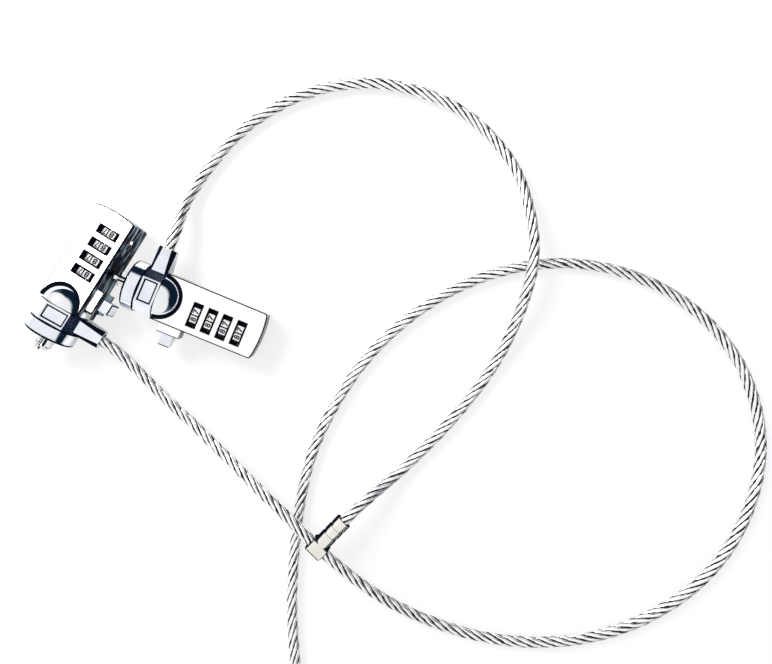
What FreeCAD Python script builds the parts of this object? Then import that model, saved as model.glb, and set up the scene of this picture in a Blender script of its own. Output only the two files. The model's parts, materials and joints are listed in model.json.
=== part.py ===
# Twin-head combination cable lock: two lock heads on one wire-rope cable.
# Each head is drawn in its own frame: +X along the stem to the nose, +Y to the push button,
# +Z out of the face that shows the dials, and the middle of the chrome ball at the origin.
import FreeCAD, Part
import math
import os
import re
import Sketcher
from FreeCAD import Placement, Rotation, Vector

# Driving sizes in millimetres, degrees and counts
SIZES = {
    # covers
    "body_length": 43.8, "body_width": 19.8, "body_thick": 12.2, "wall": 1.4,
    "end_bulge": 1.0, "corner_round": 1.2, "face_round": 0.7, "seam_bevel": 0.2,
    "lip_width": 1.45, "lip_depth": 0.8, "side_gap_length": 2.4, "side_gap_half": 3.6,
    "tab_front": 2.0, "tab_rear": 2.2, "tab_reach": 3.7, "tab_half": 4.4, "tab_bevel": 0.4,
    # clearances
    "running_gap": 0.06, "face_gap": 0.1, "part_gap": 0.3, "crimp_gap": 0.03,
    # ball, neck, ring and nose disc
    "ball_radius": 10.0, "neck_radius": 5.0, "ring_width": 8.0, "ring_flat": 9.0,
    "ring_bevel": 3.8, "ring_edge": 0.35, "frame_depth": 0.3, "frame_border": 1.2,
    "sleeve_reach": 18.8, "sleeve_base": 5.5, "sleeve_base_bevel": 1.0,
    "sleeve_tip": 3.75, "sleeve_tip_bevel": 2.0, "sleeve_offset": 0.5,
    "mouth_gap": 0.3, "mouth_depth": 2.5,
    "disc_radius": 10.2, "disc_width": 5.6, "disc_floor": 1.8, "disc_round": 1.2,
    "disc_edge": 0.3, "fork_thick": 0.95, "fork_radius": 4.9,
    "tongue_inner": 1.55, "tongue_outer": 3.35, "tongue_half": 1.2,
    "tongue_bevel": 0.4,
    # T-bar and its rack and pinion
    "shaft_radius": 1.2, "flange_radius": 2.4, "flange_thick": 0.85, "bar_reach": 6.0,
    "bar_head": 1.5, "bar_half": 3.2, "bar_half_width": 1.2, "bar_bevel": 0.5,
    "tooth_count": 8, "tooth_module": 0.4, "tooth_tip": 0.3, "tooth_root": 0.4,
    "pinion_width": 2.0, "rack_side": 3, "rack_other_side": 3,
    # push button
    "button_inset": 4.0, "button_width": 4.8, "button_half": 2.8, "button_out": 5.0,
    "button_inner": 4.9, "button_bevel": 0.45, "button_flange": 0.6,
    "button_flange_at": 6.8, "button_flange_thick": 0.7, "chamber_half": 3.9,
    "spring_wire": 0.3, "spring_radius": 0.85, "spring_pitch": 1.2, "spring_depth": 12.0,
    "spring_offset": 3.3, "post_face": 2.2, "post_back": 0.6, "post_half": 0.95, "post_top": 1.2,
    # dials
    "dial_count": 4, "dial_first": 16.0, "dial_tail": 8.99, "dial_radius": 5.7,
    "dial_space": 3.17, "window_gap": 0.2, "dial_margin": 0.9, "dial_height": 0.6, "digit_count": 10,
    "dial_bevel": 0.15, "groove_width": 0.6, "groove_depth": 0.35,
    "window_long": 9.7, "code_radius": 3.55, "code_flange": 3.9, "code_flange_thick": 0.9,
    "axle_radius": 1.54, "axle_front": 12.4, "lug_reach": 2.4, "lug_width": 1.1,
    "lug_thick": 0.7, "tail_radius": 1.0, "tail_seat": 1.0, "rib_thick": 0.8,
    "rib_clear": 1.1, "axle_spring_wire": 0.4, "axle_spring_radius": 1.6,
    "axle_spring_pitch": 0.8,
    # detent leaf, rivets and code-change slider
    "leaf_thick": 0.3, "leaf_half": 2.0, "leaf_inset": 2.1, "leaf_margin": 1.6,
    "finger_half": 1.2, "finger_tip": 0.3,
    "rivet_radius": 0.75, "rivet_head": 1.4, "rivet_head_thick": 0.6, "boss_radius": 1.6,
    "rivet_front": 12.6, "rivet_tail": 3.7, "rivet_inset": 1.5, "rivet_top": 5.1,
    "slot_tail": 7.0, "slot_length": 4.2, "slot_half": 0.9, "knob_width": 1.5,
    "knob_proud": 0.35, "slider_tail": 8.3, "slider_length": 3.9, "slider_half": 2.2,
    "slider_thick": 0.8,
    # cable and its fittings
    "cable_radius": 2.5, "stop_radius": 3.1, "stop_inner": 5.4, "stop_outer": 9.5,
    "stop_grip": 3.1, "clamp_radius": 3.8, "clamp_length": 7.5, "clamp_sleeve": 3.4,
    "clamp_share": 0.567, "clamp_reach": 15.2, "clamp_lead": 7.5, "cable_lead": 6.5,
    "clamp_web": 5.5, "crimp_depth": 0.25, "crimp_width": 1.1,
    "coil_radius": 25.0, "coil_across": 3, "coil_layers": 2, "coil_x": 89.8, "coil_y": -197.8,
    "ferrule_length": 14.0, "ferrule_wall": 1.0, "eye_length": 32.0, "eye_half": 8.0,
    "eye_lead": 24.0, "tail_step": 10.0, "tail_entry": 4.0,
    # how the heads lie
    "head_a_x": -33.71, "head_a_y": -10.51, "head_a_turn": -120.8, "head_a_roll": 9.5,
    "head_a_sleeve": -8.5,
    "head_b_x": 5.61, "head_b_y": -6.01, "head_b_turn": 157.2, "head_b_roll": 0.0,
    "head_b_sleeve": 180.0,
}

# Sizes that follow from others, so each part keeps its place and its room beside them
FOLLOWING = {
    "button_near": "ball_radius - button_inset",
    "spring_x": "button_near + spring_offset",
    "tab_start": "button_near - tab_front",
    "tab_end": "button_near + button_width + tab_rear",
    "dial_pitch": "(body_length - dial_first - dial_tail) / (dial_count - 1)",
    "dial_width": "dial_pitch - dial_space",
    "dial_side": "body_width / 2 - wall - dial_radius - dial_margin",
    "leaf_side": "body_width / 2 - wall - leaf_inset",
    "rib_high": "body_width / 2 - wall - rib_clear",
    "rivet_side": "body_width / 2 - wall - rivet_inset",
    "rivet_rear": "body_length - rivet_tail",
    "slot_front": "body_length - slot_tail - slot_length",
    "slider_front": "body_length - slider_tail - slider_length",
}
CELLS = {**SIZES, **{name: "=" + rule for name, rule in FOLLOWING.items()}}

doc = FreeCAD.newDocument("cable_lock")
sheet = doc.addObject("Spreadsheet::Sheet", "Sheet")
for line, (name, size) in enumerate(CELLS.items(), start=1):
    sheet.set(f"A{line}", name)
    sheet.set(f"B{line}", str(size))
    sheet.setAlias(f"B{line}", name)
doc.recompute()


def value(text):
    """The number that an expression on the sheet's names gives now."""
    return float(sheet.evalExpression(str(text)))


def bind(thing, path, text):
    """Ties one property of a document object to an expression on the sheet's names."""
    pattern = r"\b(" + "|".join(CELLS) + r")\b"
    thing.setExpression(path, re.sub(pattern, r"Sheet.\1", str(text)))


# Primitives bound to the sheet. A span is a pair of expressions, low and high.

def block(x, y, z):
    made = doc.addObject("Part::Box", "Block")
    for side, axis, (low, high) in zip(("Length", "Width", "Height"), "xyz", (x, y, z)):
        bind(made, side, f"({high}) - ({low})")
        bind(made, f"Placement.Base.{axis}", low)
    return made


TURNS = {"x": Rotation(Vector(0, 1, 0), 90), "y": Rotation(Vector(1, 0, 0), -90),
         "z": Rotation()}


def place(made, axis, span, centre):
    """Lays a round primitive along an axis from the span's low end, centred on centre."""
    made.Placement = Placement(Vector(), TURNS[axis])
    bind(made, f"Placement.Base.{axis}", span[0])
    for other, middle in zip([a for a in "xyz" if a != axis], centre):
        bind(made, f"Placement.Base.{other}", middle)
    return made


def rod(axis, span, radius, centre=("0", "0")):
    made = doc.addObject("Part::Cylinder", "Rod")
    bind(made, "Radius", radius)
    bind(made, "Height", f"({span[1]}) - ({span[0]})")
    return place(made, axis, span, centre)


def taper(axis, span, low_radius, high_radius, centre=("0", "0")):
    made = doc.addObject("Part::Cone", "Taper")
    bind(made, "Radius1", low_radius)
    bind(made, "Radius2", high_radius)
    bind(made, "Height", f"({span[1]}) - ({span[0]})")
    return place(made, axis, span, centre)


def ball(radius):
    """A ball on the origin with its poles on the X axis."""
    made = doc.addObject("Part::Sphere", "Ball")
    made.Placement = Placement(Vector(), TURNS["x"])
    bind(made, "Radius", radius)
    return made


def joined(parts, name="Joined"):
    if len(parts) == 1:
        return parts[0]
    made = doc.addObject("Part::MultiFuse", name)
    made.Shapes = parts
    return made


def cut(base, tools, name="Cut"):
    made = doc.addObject("Part::Cut", name)
    made.Base = base
    made.Tool = joined(tools)
    return made


def shared(parts, name="Shared"):
    made = doc.addObject("Part::MultiCommon", name)
    made.Shapes = parts
    return made


def edges_where(shape, test):
    """Numbers of the edges whose every vertex and middle pass the test."""
    found = []
    for number, edge in enumerate(shape.Edges, start=1):
        middle = edge.valueAt((edge.FirstParameter + edge.LastParameter) / 2)
        points = [vertex.Point for vertex in edge.Vertexes] + [middle]
        if all(test(point) for point in points):
            found.append(number)
    return found


def eased(base, kind, tests, name="Eased"):
    """Fillets or chamfers a primitive's edges; tests pairs an edge test with a size's name."""
    doc.recompute()
    made = doc.addObject("Part::" + kind, name)
    made.Base = base
    made.Edges = [(number, value(size), value(size))
                  for test, size in tests for number in edges_where(base.Shape, test)]
    return made


# Bodies with sketches. Plane XY has the normal +Z, XZ has -Y and YZ has +X.

def new_body(label):
    return doc.addObject("PartDesign::Body", label)


def new_sketch(body, plane, lift):
    made = body.newObject("Sketcher::SketchObject", "Sketch")
    origin = [f for f in body.Origin.OriginFeatures if f.Role == plane + "_Plane"][0]
    made.AttachmentSupport = [(origin, "")]
    made.MapMode = "FlatFace"
    bind(made, "AttachmentOffset.Base.z", lift)
    return made


def tie(made, kind, geometry, spot, text):
    number = made.addConstraint(
        Sketcher.Constraint(kind, -1, 1, geometry, spot, value(text)))
    bind(made, f"Constraints[{number}]", text)


def outline(body, plane, corners, lift="0"):
    """A closed outline through corners, each corner's two places tied to the sheet."""
    made = new_sketch(body, plane, lift)
    spots = [Vector(value(across), value(up), 0) for across, up in corners]
    count = len(spots)
    for index in range(count):
        made.addGeometry(Part.LineSegment(spots[index], spots[(index + 1) % count]), False)
    for index in range(count):
        made.addConstraint(
            Sketcher.Constraint("Coincident", index, 2, (index + 1) % count, 1))
    for index, (across, up) in enumerate(corners):
        tie(made, "DistanceX", index, 1, across)
        tie(made, "DistanceY", index, 1, up)
    return made


def circles(body, plane, rounds, lift="0"):
    """Circles given as centre across, centre up and radius."""
    made = new_sketch(body, plane, lift)
    for index, (across, up, radius) in enumerate(rounds):
        centre = Vector(value(across), value(up), 0)
        made.addGeometry(Part.Circle(centre, Vector(0, 0, 1), value(radius)), False)
        tie(made, "DistanceX", index, 3, across)
        tie(made, "DistanceY", index, 3, up)
        number = made.addConstraint(
            Sketcher.Constraint("Radius", index, value(radius)))
        bind(made, f"Constraints[{number}]", radius)
    return made


def rectangle(body, plane, across, up, lift="0"):
    return outline(body, plane, [(across[0], up[0]), (across[1], up[0]),
                                 (across[1], up[1]), (across[0], up[1])], lift)


def pad(body, profile, length):
    made = body.newObject("PartDesign::Pad", "Pad")
    made.Profile = profile
    bind(made, "Length", length)
    return made


def pocket(body, profile, length):
    """Cuts along the sketch's normal, and stops if nothing was cut."""
    doc.recompute()
    before = body.Shape.Volume
    made = body.newObject("PartDesign::Pocket", "Pocket")
    made.Profile = profile
    made.Reversed = True
    bind(made, "Length", length)
    doc.recompute()
    if not body.Shape.Volume < before:
        raise ValueError(body.Label + ": a pocket cut nothing")
    return made


def turned(body, profile):
    made = body.newObject("PartDesign::Revolution", "Revolution")
    made.Profile = profile
    made.ReferenceAxis = (profile, ["H_Axis"])
    made.Angle = 360
    return made


def dressed(body, kind, base, size, test):
    """Fillets or chamfers the edges of a feature that pass the test."""
    doc.recompute()
    made = body.newObject("PartDesign::" + kind, kind)
    made.Base = (base, [f"Edge{number}" for number in edges_where(base.Shape, test)])
    bind(made, "Radius" if kind == "Fillet" else "Size", size)
    return made


def round_pattern(body, feature, profile, count):
    made = body.newObject("PartDesign::PolarPattern", "PolarPattern")
    made.Originals = [feature]
    made.Axis = (profile, ["N_Axis"])
    made.Angle = 360
    bind(made, "Occurrences", count)
    body.Tip = made
    return made


def octagon(half_across, half_up, bevel, middle="0"):
    """Corners of a rectangle with cut corners, centred on (middle, 0)."""
    flat = f"({half_across} - {bevel})"
    rise = f"({half_up} - {bevel})"
    return [(f"{middle} - {half_across}", f"-{rise}"), (f"{middle} - {flat}", f"-({half_up})"),
            (f"{middle} + {flat}", f"-({half_up})"), (f"{middle} + {half_across}", f"-{rise}"),
            (f"{middle} + {half_across}", rise), (f"{middle} + {flat}", half_up),
            (f"{middle} - {flat}", half_up), (f"{middle} - {half_across}", rise)]


# Places that several pieces share, worked out from the sheet's sizes
END_ARC = "((body_width ^ 2 / 4 + end_bulge ^ 2) / (2 * end_bulge))"
FACE = "body_thick / 2"
INNER = "(body_thick / 2 - wall)"
REAR = "-(body_length - wall - end_bulge)"
SIDE = "(body_width / 2 - wall)"
RING_BACK = "face_gap"
RING_FRONT = "(face_gap + ring_width)"
RING_MIDDLE = "(face_gap + ring_width / 2)"
SLEEVE_MIDDLE = "(face_gap + ring_width / 2 + sleeve_offset)"
DISC_BACK = "(2 * face_gap + ring_width)"
DISC_FRONT = "(2 * face_gap + ring_width + disc_width)"
FLOOR_BACK = f"({DISC_FRONT} - disc_floor)"
FORK_FRONT = f"({FLOOR_BACK} - running_gap)"
FORK_BACK = f"({FORK_FRONT} - fork_thick)"
NECK_END = f"({FORK_BACK} - running_gap)"
FLANGE_FRONT = f"({NECK_END} - running_gap)"
FLANGE_BACK = f"({FLANGE_FRONT} - flange_thick)"
BUTTON_FAR = "(button_near + button_width)"
POCKET_FRONT = "(button_near - 4 * face_gap)"
POCKET_BACK = "(button_near + button_width + 6 * face_gap)"
PINION_BACK = "(button_near + pinion_width)"
PITCH_RADIUS = "(tooth_count * tooth_module / 2)"
TOOTH_PITCH = "(pi * tooth_module)"
TAB_FACE = "(body_width / 2 + tab_reach)"
BUTTON_FACE = "(body_width / 2 + tab_reach + button_out)"
CODE_REACH = "(dial_width / 2 + running_gap + code_flange_thick)"
LUG_NEAR = f"({CODE_REACH} + 0.5 * part_gap)"
RIB_NEAR = f"({LUG_NEAR} + lug_thick + face_gap)"
LAST_DIAL = "(dial_first + (dial_count - 1) * dial_pitch)"
AXLE_END = f"({LAST_DIAL} + {LUG_NEAR} + lug_thick)"
LEAF_OUT = "(leaf_side + leaf_thick)"
LEAF_FRONT = "(dial_first - leaf_margin)"
LEAF_REAR = f"({LAST_DIAL} + leaf_margin)"
TONGUE_REACH = "(bar_reach - bar_head - face_gap)"
DIAL_COUNT = int(value("dial_count"))
RIVETS = [("-rivet_front", "-rivet_side"), ("-rivet_rear", "-rivet_side"),
          ("-rivet_rear", "rivet_side")]


def dial_place(index):
    """Where a dial's middle lies along the stem, as an expression."""
    return f"-(dial_first + {index} * dial_pitch)"


# Covers

def cover(label, front):
    """One half shell: a block with a bowed end and a tab, hollowed, ribbed and bored."""
    low, high = ("dial_height", FACE) if front else (f"-{FACE}", "dial_height")
    face = value(high) if front else value(low)
    seam = value("dial_height")
    wall_mid = f"({INNER} + wall / 2)"
    plan = shared([
        block(("-body_length", "0"), ("-body_width / 2", "body_width / 2"), (low, high)),
        rod("z", (low, high), END_ARC, (f"{END_ARC} - body_length", "0"))])
    rear = -value("body_length") / 2
    shell = eased(plan, "Fillet", [
        (lambda p: p.x < rear and abs(abs(p.y) - value("body_width") / 2) < 0.01
         and abs(p.x + value("body_length") - value("end_bulge")) < 0.05, "corner_round"),
        (lambda p: abs(p.z - face) < 0.001
         and (p.x < -0.001 or abs(abs(p.y) - value("body_width") / 2) < 0.01), "face_round")])
    shell = eased(shell, "Chamfer", [
        (lambda p: abs(p.z - seam) < 0.001 and p.x < -0.001, "seam_bevel")])
    tab_span = ("dial_height", "tab_half") if front else ("-tab_half", "dial_height")
    tab = eased(block(("-tab_end", "-tab_start"), (f"{SIDE}", TAB_FACE), tab_span), "Chamfer", [
        (lambda p: p.y > value(TAB_FACE) - 0.001
         and (abs(p.z - seam) > 0.001), "tab_bevel")])
    hollow = (("dial_height", INNER) if front else (f"-{INNER}", "dial_height"))
    cavities = [
        block((REAR, "-ball_radius + 1"), (f"-{SIDE}", SIDE), hollow),
        ball("ball_radius + face_gap"),
        block((f"-{POCKET_BACK}", f"-{POCKET_FRONT}"),
              (f"-{SIDE}", "button_flange_at + button_flange_thick + face_gap"),
              ("-chamber_half", "chamber_half"))]
    body = cut(joined([shell, tab]), cavities)

    lean = 1 if front else -1
    lip_base = f"{lean} * ({FACE} - lip_depth)"
    lip_small = f"sqrt((ball_radius + face_gap) ^ 2 - ({FACE} - lip_depth) ^ 2)"
    lip_large = f"(sqrt((ball_radius + face_gap) ^ 2 - ({FACE}) ^ 2) + lip_width)"
    if front:
        lip = taper("z", (lip_base, FACE), lip_small, lip_large)
        rib_span = ("dial_height", wall_mid)
        boss_span = ("dial_height", wall_mid)
    else:
        lip = taper("z", (f"-{FACE}", lip_base), lip_large, lip_small)
        rib_span = (f"-{wall_mid}", "dial_height")
        boss_span = (f"-{wall_mid}", "dial_height")
    adds = [body]
    for index in range(-1, DIAL_COUNT - 1):
        far = f"{dial_place(index)} - {RIB_NEAR} - rib_thick"
        adds.append(block((far, f"{far} + rib_thick"), (f"-{SIDE}", "rib_high"), rib_span))
    adds += [rod("z", boss_span, "boss_radius", spot) for spot in RIVETS]

    axle_line = ("dial_side", "dial_height")
    holes = [
        lip,
        rod("x", (REAR, "-axle_front"), "axle_radius + running_gap", axle_line),
        rod("x", (f"{REAR} - tail_seat", REAR), "tail_radius + running_gap", axle_line),
        block((f"-{BUTTON_FAR} - face_gap", "-button_near + face_gap"),
              ("button_flange_at", f"{TAB_FACE} + 1"),
              ("-button_half - face_gap", "button_half + face_gap")),
        block((f"-{LEAF_REAR} - face_gap", f"-{LEAF_FRONT} + face_gap"),
              (f"-{LEAF_OUT} - running_gap", "-leaf_side + running_gap"),
              ("dial_height - leaf_half - face_gap", "dial_height + leaf_half + face_gap")),
        block(("-slot_front - slot_length", "-slot_front"), (f"{SIDE} - 1", "body_width"),
              ("dial_height - slot_half", "dial_height + slot_half"))]
    for side in (("-body_width", f"-{SIDE}"), (SIDE, "body_width")):
        holes.append(block(("-side_gap_length", "1"), side,
                           ("-side_gap_half", "side_gap_half")))
    window_half = "(dial_width / 2 + window_gap)"
    for index in range(DIAL_COUNT):
        spot = dial_place(index)
        across = (f"{spot} - {window_half}", f"{spot} + {window_half}")
        if front:
            holes.append(block(across, ("dial_side - window_long / 2",
                                        "dial_side + window_long / 2"), ("dial_height", "body_thick")))
        holes.append(rod("x", across, "dial_radius + part_gap", axle_line))
    for spot in RIVETS:
        if front:
            holes.append(rod("z", ("0", "rivet_top + face_gap"),
                             "rivet_radius + running_gap", spot))
        else:
            holes.append(rod("z", (f"-{FACE}", "dial_height"),
                             "rivet_radius + running_gap", spot))
            holes.append(rod("z", (f"-{FACE}", f"-{FACE} + rivet_head_thick + running_gap"),
                             "rivet_head + running_gap", spot))
    return cut(joined(adds), holes, label)


# Ball, swivel ring, nose disc and fork

def ball_housing(label):
    """Half ball with the neck that carries the ring; its slot holds the rack and pinion."""
    solid = joined([
        shared([ball("ball_radius"), block(("-ball_radius", "0"), ("-body_width", "body_width"),
                                           ("-body_width", "body_width"))]),
        rod("x", ("-1", NECK_END), "neck_radius")])
    slot = block((f"-{POCKET_BACK}", f"-{POCKET_FRONT}"), ("-body_width", "body_width"),
                 ("-chamber_half", "chamber_half"))
    post_front = "-(spring_x - post_half - 0.15)"
    post = block(("-(spring_x + post_half - 0.25)", post_front), ("post_back", "post_face"),
                 ("-chamber_half - 1", "post_top"))
    holes = [
        rod("x", (f"-{POCKET_FRONT} - 1", NECK_END), "shaft_radius + running_gap"),
        rod("x", (f"{FLANGE_BACK} - running_gap", NECK_END), "flange_radius + running_gap")]
    return cut(joined([cut(solid, [slot]), shared([post, ball("ball_radius")])]), holes, label)


def swivel_ring(label):
    """Square collar with cut corners and framed flats, and the tapered cable sleeve on it."""
    body = new_body(label)
    half = "ring_flat"
    base = pad(body, outline(body, "YZ", octagon(half, half, "ring_bevel"), RING_BACK),
               "ring_width")
    rim = value(half) * 0.8
    edge = dressed(body, "Chamfer", base, "ring_edge", lambda p: math.hypot(p.y, p.z) > rim
                   and min(abs(p.x - value(RING_BACK)), abs(p.x - value(RING_FRONT))) < 0.001)
    across = (f"{RING_BACK} + frame_border", f"{RING_FRONT} - frame_border")
    up = ("-(ring_flat - ring_bevel - frame_border / 2)",
          "ring_flat - ring_bevel - frame_border / 2")
    for plane, lift in (("XY", "ring_flat - frame_depth"), ("XZ", "ring_flat - frame_depth"),
                        ("XY", "-ring_flat")):
        pocket(body, rectangle(body, plane, across, up, lift), "frame_depth")
    root = outline(body, "XZ", octagon("(ring_width / 2 - ring_edge)", "sleeve_base",
                                       "sleeve_base_bevel",
                                       RING_MIDDLE), "-(ring_flat - frame_depth)")
    tip = outline(body, "XZ", octagon("sleeve_tip", "sleeve_tip", "sleeve_tip_bevel",
                                      SLEEVE_MIDDLE), "-sleeve_reach")
    sleeve = body.newObject("PartDesign::AdditiveLoft", "Sleeve")
    sleeve.Profile = root
    sleeve.Sections = [tip]
    sleeve.Ruled = True
    pocket(body, circles(body, "YZ", [("0", "0", "neck_radius + running_gap")]),
           f"{RING_FRONT} + 1")
    pocket(body, circles(body, "XZ", [(SLEEVE_MIDDLE, "0", "cable_radius + crimp_gap")],
                         "-sleeve_reach - 1"), "sleeve_reach")
    pocket(body, circles(body, "XZ", [(SLEEVE_MIDDLE, "0", "cable_radius + mouth_gap")],
                         "-sleeve_reach - 1"), "1 + mouth_depth")
    pocket(body, circles(body, "XZ", [(SLEEVE_MIDDLE, "0", "stop_radius + running_gap")],
                         "-stop_outer - running_gap"), "stop_outer")
    return body


def cable_stop(label):
    """Plug crimped on the cable's end, held behind a step in the sleeve."""
    return cut(rod("y", ("stop_inner", "stop_outer"), "stop_radius", (SLEEVE_MIDDLE, "0")),
               [rod("y", ("stop_outer - stop_grip - crimp_gap", "stop_outer + 1"),
                    "cable_radius + crimp_gap", (SLEEVE_MIDDLE, "0"))], label)


def nose_disc(label):
    body = new_body(label)
    bore = "neck_radius + running_gap"
    hole = "shaft_radius + running_gap"
    profile = outline(body, "XY", [
        (DISC_BACK, bore), (FLOOR_BACK, bore), (FLOOR_BACK, hole), (DISC_FRONT, hole),
        (DISC_FRONT, "disc_radius"), (f"{DISC_BACK} + disc_edge", "disc_radius"),
        (DISC_BACK, "disc_radius - disc_edge")])
    whole = turned(body, profile)
    front = value(DISC_FRONT)
    rim = value("disc_radius")
    rounded = dressed(body, "Fillet", whole, "disc_round",
                      lambda p: abs(p.x - front) < 0.001
                      and abs(math.hypot(p.y, p.z) - rim) < 0.001)
    up = ("-tongue_half - running_gap", "tongue_half + running_gap")
    for side in (("-tongue_outer - running_gap", "-tongue_inner + running_gap"),
                 ("tongue_inner - running_gap", "tongue_outer + running_gap")):
        pocket(body, rectangle(body, "YZ", side, up, FLOOR_BACK), "disc_floor + 1")
    return body


def slot_tongues(label):
    """Plate behind the disc's floor with the two tongues that stop the head turning in a slot."""
    plate = cut(rod("x", (FORK_BACK, FORK_FRONT), "fork_radius"),
                [rod("x", (f"{FORK_BACK} - 1", f"{FORK_FRONT} + 1"),
                     "shaft_radius + running_gap")])
    tip = value(f"{DISC_FRONT} + {TONGUE_REACH}")
    tongues = []
    for side in (("-tongue_outer", "-tongue_inner"), ("tongue_inner", "tongue_outer")):
        blade = block((f"{FORK_FRONT} - 0.2", f"{DISC_FRONT} + {TONGUE_REACH}"), side,
                      ("-tongue_half", "tongue_half"))
        tongues.append(eased(blade, "Chamfer", [(lambda p: p.x > tip - 0.001, "tongue_bevel")]))
    return joined([plate] + tongues, label)


def t_bar(label):
    """Shaft with the cross head in front, a thrust flange and the pinion at its rear."""
    body = new_body(label)
    tip = f"({DISC_FRONT} + bar_reach)"
    rear = f"-{PINION_BACK}"
    turned(body, outline(body, "XY", [
        (rear, "0"), (f"{tip} - bar_head", "0"), (f"{tip} - bar_head", "shaft_radius"),
        (FLANGE_FRONT, "shaft_radius"), (FLANGE_FRONT, "flange_radius"),
        (FLANGE_BACK, "flange_radius"), (FLANGE_BACK, "shaft_radius"),
        (rear, "shaft_radius")]))
    pad(body, outline(body, "YZ", octagon("bar_half_width", "bar_half", "bar_bevel"),
                      f"{tip} - bar_head"), "bar_head")
    root = f"(0.24 * {TOOTH_PITCH})"
    point = f"(0.08 * {TOOTH_PITCH})"
    inside = "(shaft_radius - 0.2)"
    outside = f"({PITCH_RADIUS} + tooth_tip)"
    profile = outline(body, "YZ", [
        (f"-{root}", inside), (root, inside), (root, "shaft_radius"), (point, outside),
        (f"-{point}", outside), (f"-{root}", "shaft_radius")], rear)
    tooth = pad(body, profile, "pinion_width")
    round_pattern(body, tooth, profile, "tooth_count")
    return body


def push_button(label):
    """Button block with its stop flange and the rack that turns the T-bar."""
    body = new_body(label)
    wide = (f"-{BUTTON_FAR}", "-button_near")
    base = pad(body, rectangle(body, "XY", wide, ("button_inner", BUTTON_FACE), "-button_half"),
               "2 * button_half")
    outer = value(BUTTON_FACE)
    dressed(body, "Chamfer", base, "button_bevel", lambda p: p.y > outer - 0.001)
    pad(body, rectangle(body, "XY", wide,
                        ("button_flange_at", "button_flange_at + button_flange_thick"),
                        "-button_half - button_flange"), "2 * (button_half + button_flange)")
    rack = (f"-{PINION_BACK}", "-button_near")
    root = f"({PITCH_RADIUS} + tooth_root)"
    tip = f"({PITCH_RADIUS} - tooth_tip)"
    first = f"(-(rack_side - 1.5) * {TOOTH_PITCH})"
    pad(body, rectangle(body, "XY", rack, (f"{first} - 0.7 * {TOOTH_PITCH}",
                                           "button_inner + 0.1"), root),
        f"button_half - {root}")
    wide_half = f"(0.4 * {TOOTH_PITCH})"
    thin_half = f"(0.07 * {TOOTH_PITCH})"
    profile = outline(body, "YZ", [
        (f"{first} - {thin_half}", tip), (f"{first} + {thin_half}", tip),
        (f"{first} + {wide_half}", root), (f"{first} + {wide_half}", f"{root} + 0.1"),
        (f"{first} - {wide_half}", f"{root} + 0.1"), (f"{first} - {wide_half}", root)],
        rack[0])
    tooth = pad(body, profile, "pinion_width")
    row = body.newObject("PartDesign::LinearPattern", "Rack")
    row.Originals = [tooth]
    row.Direction = (profile, ["H_Axis"])
    bind(row, "Occurrences", "rack_side + rack_other_side - 1")
    bind(row, "Length", f"(rack_side + rack_other_side - 2) * {TOOTH_PITCH}")
    body.Tip = row
    pocket(body, circles(body, "XZ", [("-spring_x", "0",
                                       "spring_radius + spring_wire / 2 + face_gap")],
                         "-spring_depth"), "spring_depth - button_inner + 0.5")
    return body


def coil_spring(label, radius, wire, pitch, length):
    """Helical spring along its own Z, standing on its own origin."""
    body = new_body(label)
    profile = circles(body, "XZ", [(radius, f"{wire} / 2", f"{wire} / 2")])
    made = body.newObject("PartDesign::AdditiveHelix", "Helix")
    made.Profile = profile
    made.ReferenceAxis = (profile, ["V_Axis"])
    made.Mode = 0
    bind(made, "Pitch", pitch)
    bind(made, "Height", f"{length} - {wire}")
    return body


# Dials and their works

def dial(label):
    """Ten-sided drum with a groove at each corner, centred on its own axis along X."""
    body = new_body(label)
    count = int(value("digit_count"))
    corners = [(f"dial_radius * cos({360 * index / count + 90} deg)",
                f"dial_radius * sin({360 * index / count + 90} deg)") for index in range(count)]
    profile = outline(body, "YZ", corners, "-dial_width / 2")
    drum = pad(body, profile, "dial_width")
    half = value("dial_width / 2")
    dressed(body, "Chamfer", drum, "dial_bevel", lambda p: abs(abs(p.x) - half) < 0.001)
    pocket(body, circles(body, "YZ", [("0", "0", "code_radius + running_gap")],
                         "-dial_width / 2"), "dial_width")
    groove_sketch = rectangle(body, "YZ", ("-groove_width / 2", "groove_width / 2"),
                              ("dial_radius - groove_depth", "dial_radius + 1"),
                              "-dial_width / 2")
    groove = pocket(body, groove_sketch, "dial_width")
    round_pattern(body, groove, groove_sketch, "digit_count")
    return body


def code_ring(label):
    """Keyed sleeve inside a dial, with the clutch flange beside it."""
    solid = joined([
        rod("x", (f"-{CODE_REACH}", f"-({CODE_REACH} - code_flange_thick)"), "code_flange"),
        rod("x", (f"-{CODE_REACH}", "dial_width / 2"), "code_radius")])
    return cut(solid, [
        rod("x", (f"-{CODE_REACH} - 1", "dial_width"), "axle_radius + running_gap"),
        block((f"-{CODE_REACH} - 1", "dial_width"), ("0", "lug_reach + part_gap"),
              ("-lug_width / 2 - face_gap", "lug_width / 2 + face_gap"))], label)


def dial_axle(label):
    """Spindle with a lug behind each dial, a collar at the last and a thin tail."""
    line = ("dial_side", "dial_height")
    parts = [rod("x", (f"-{AXLE_END}", "-axle_front"), "axle_radius", line),
             rod("x", (f"{REAR} - tail_seat + face_gap", f"-{AXLE_END} + 0.5"),
                 "tail_radius", line),
             rod("x", (f"-{AXLE_END}", f"-{AXLE_END} + lug_thick"), "lug_reach", line)]
    for index in range(DIAL_COUNT - 1):
        far = f"{dial_place(index)} - {LUG_NEAR} - lug_thick"
        parts.append(block((far, f"{far} + lug_thick"), ("dial_side", "dial_side + lug_reach"),
                           ("dial_height - lug_width / 2", "dial_height + lug_width / 2")))
    return joined(parts, label)


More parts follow.
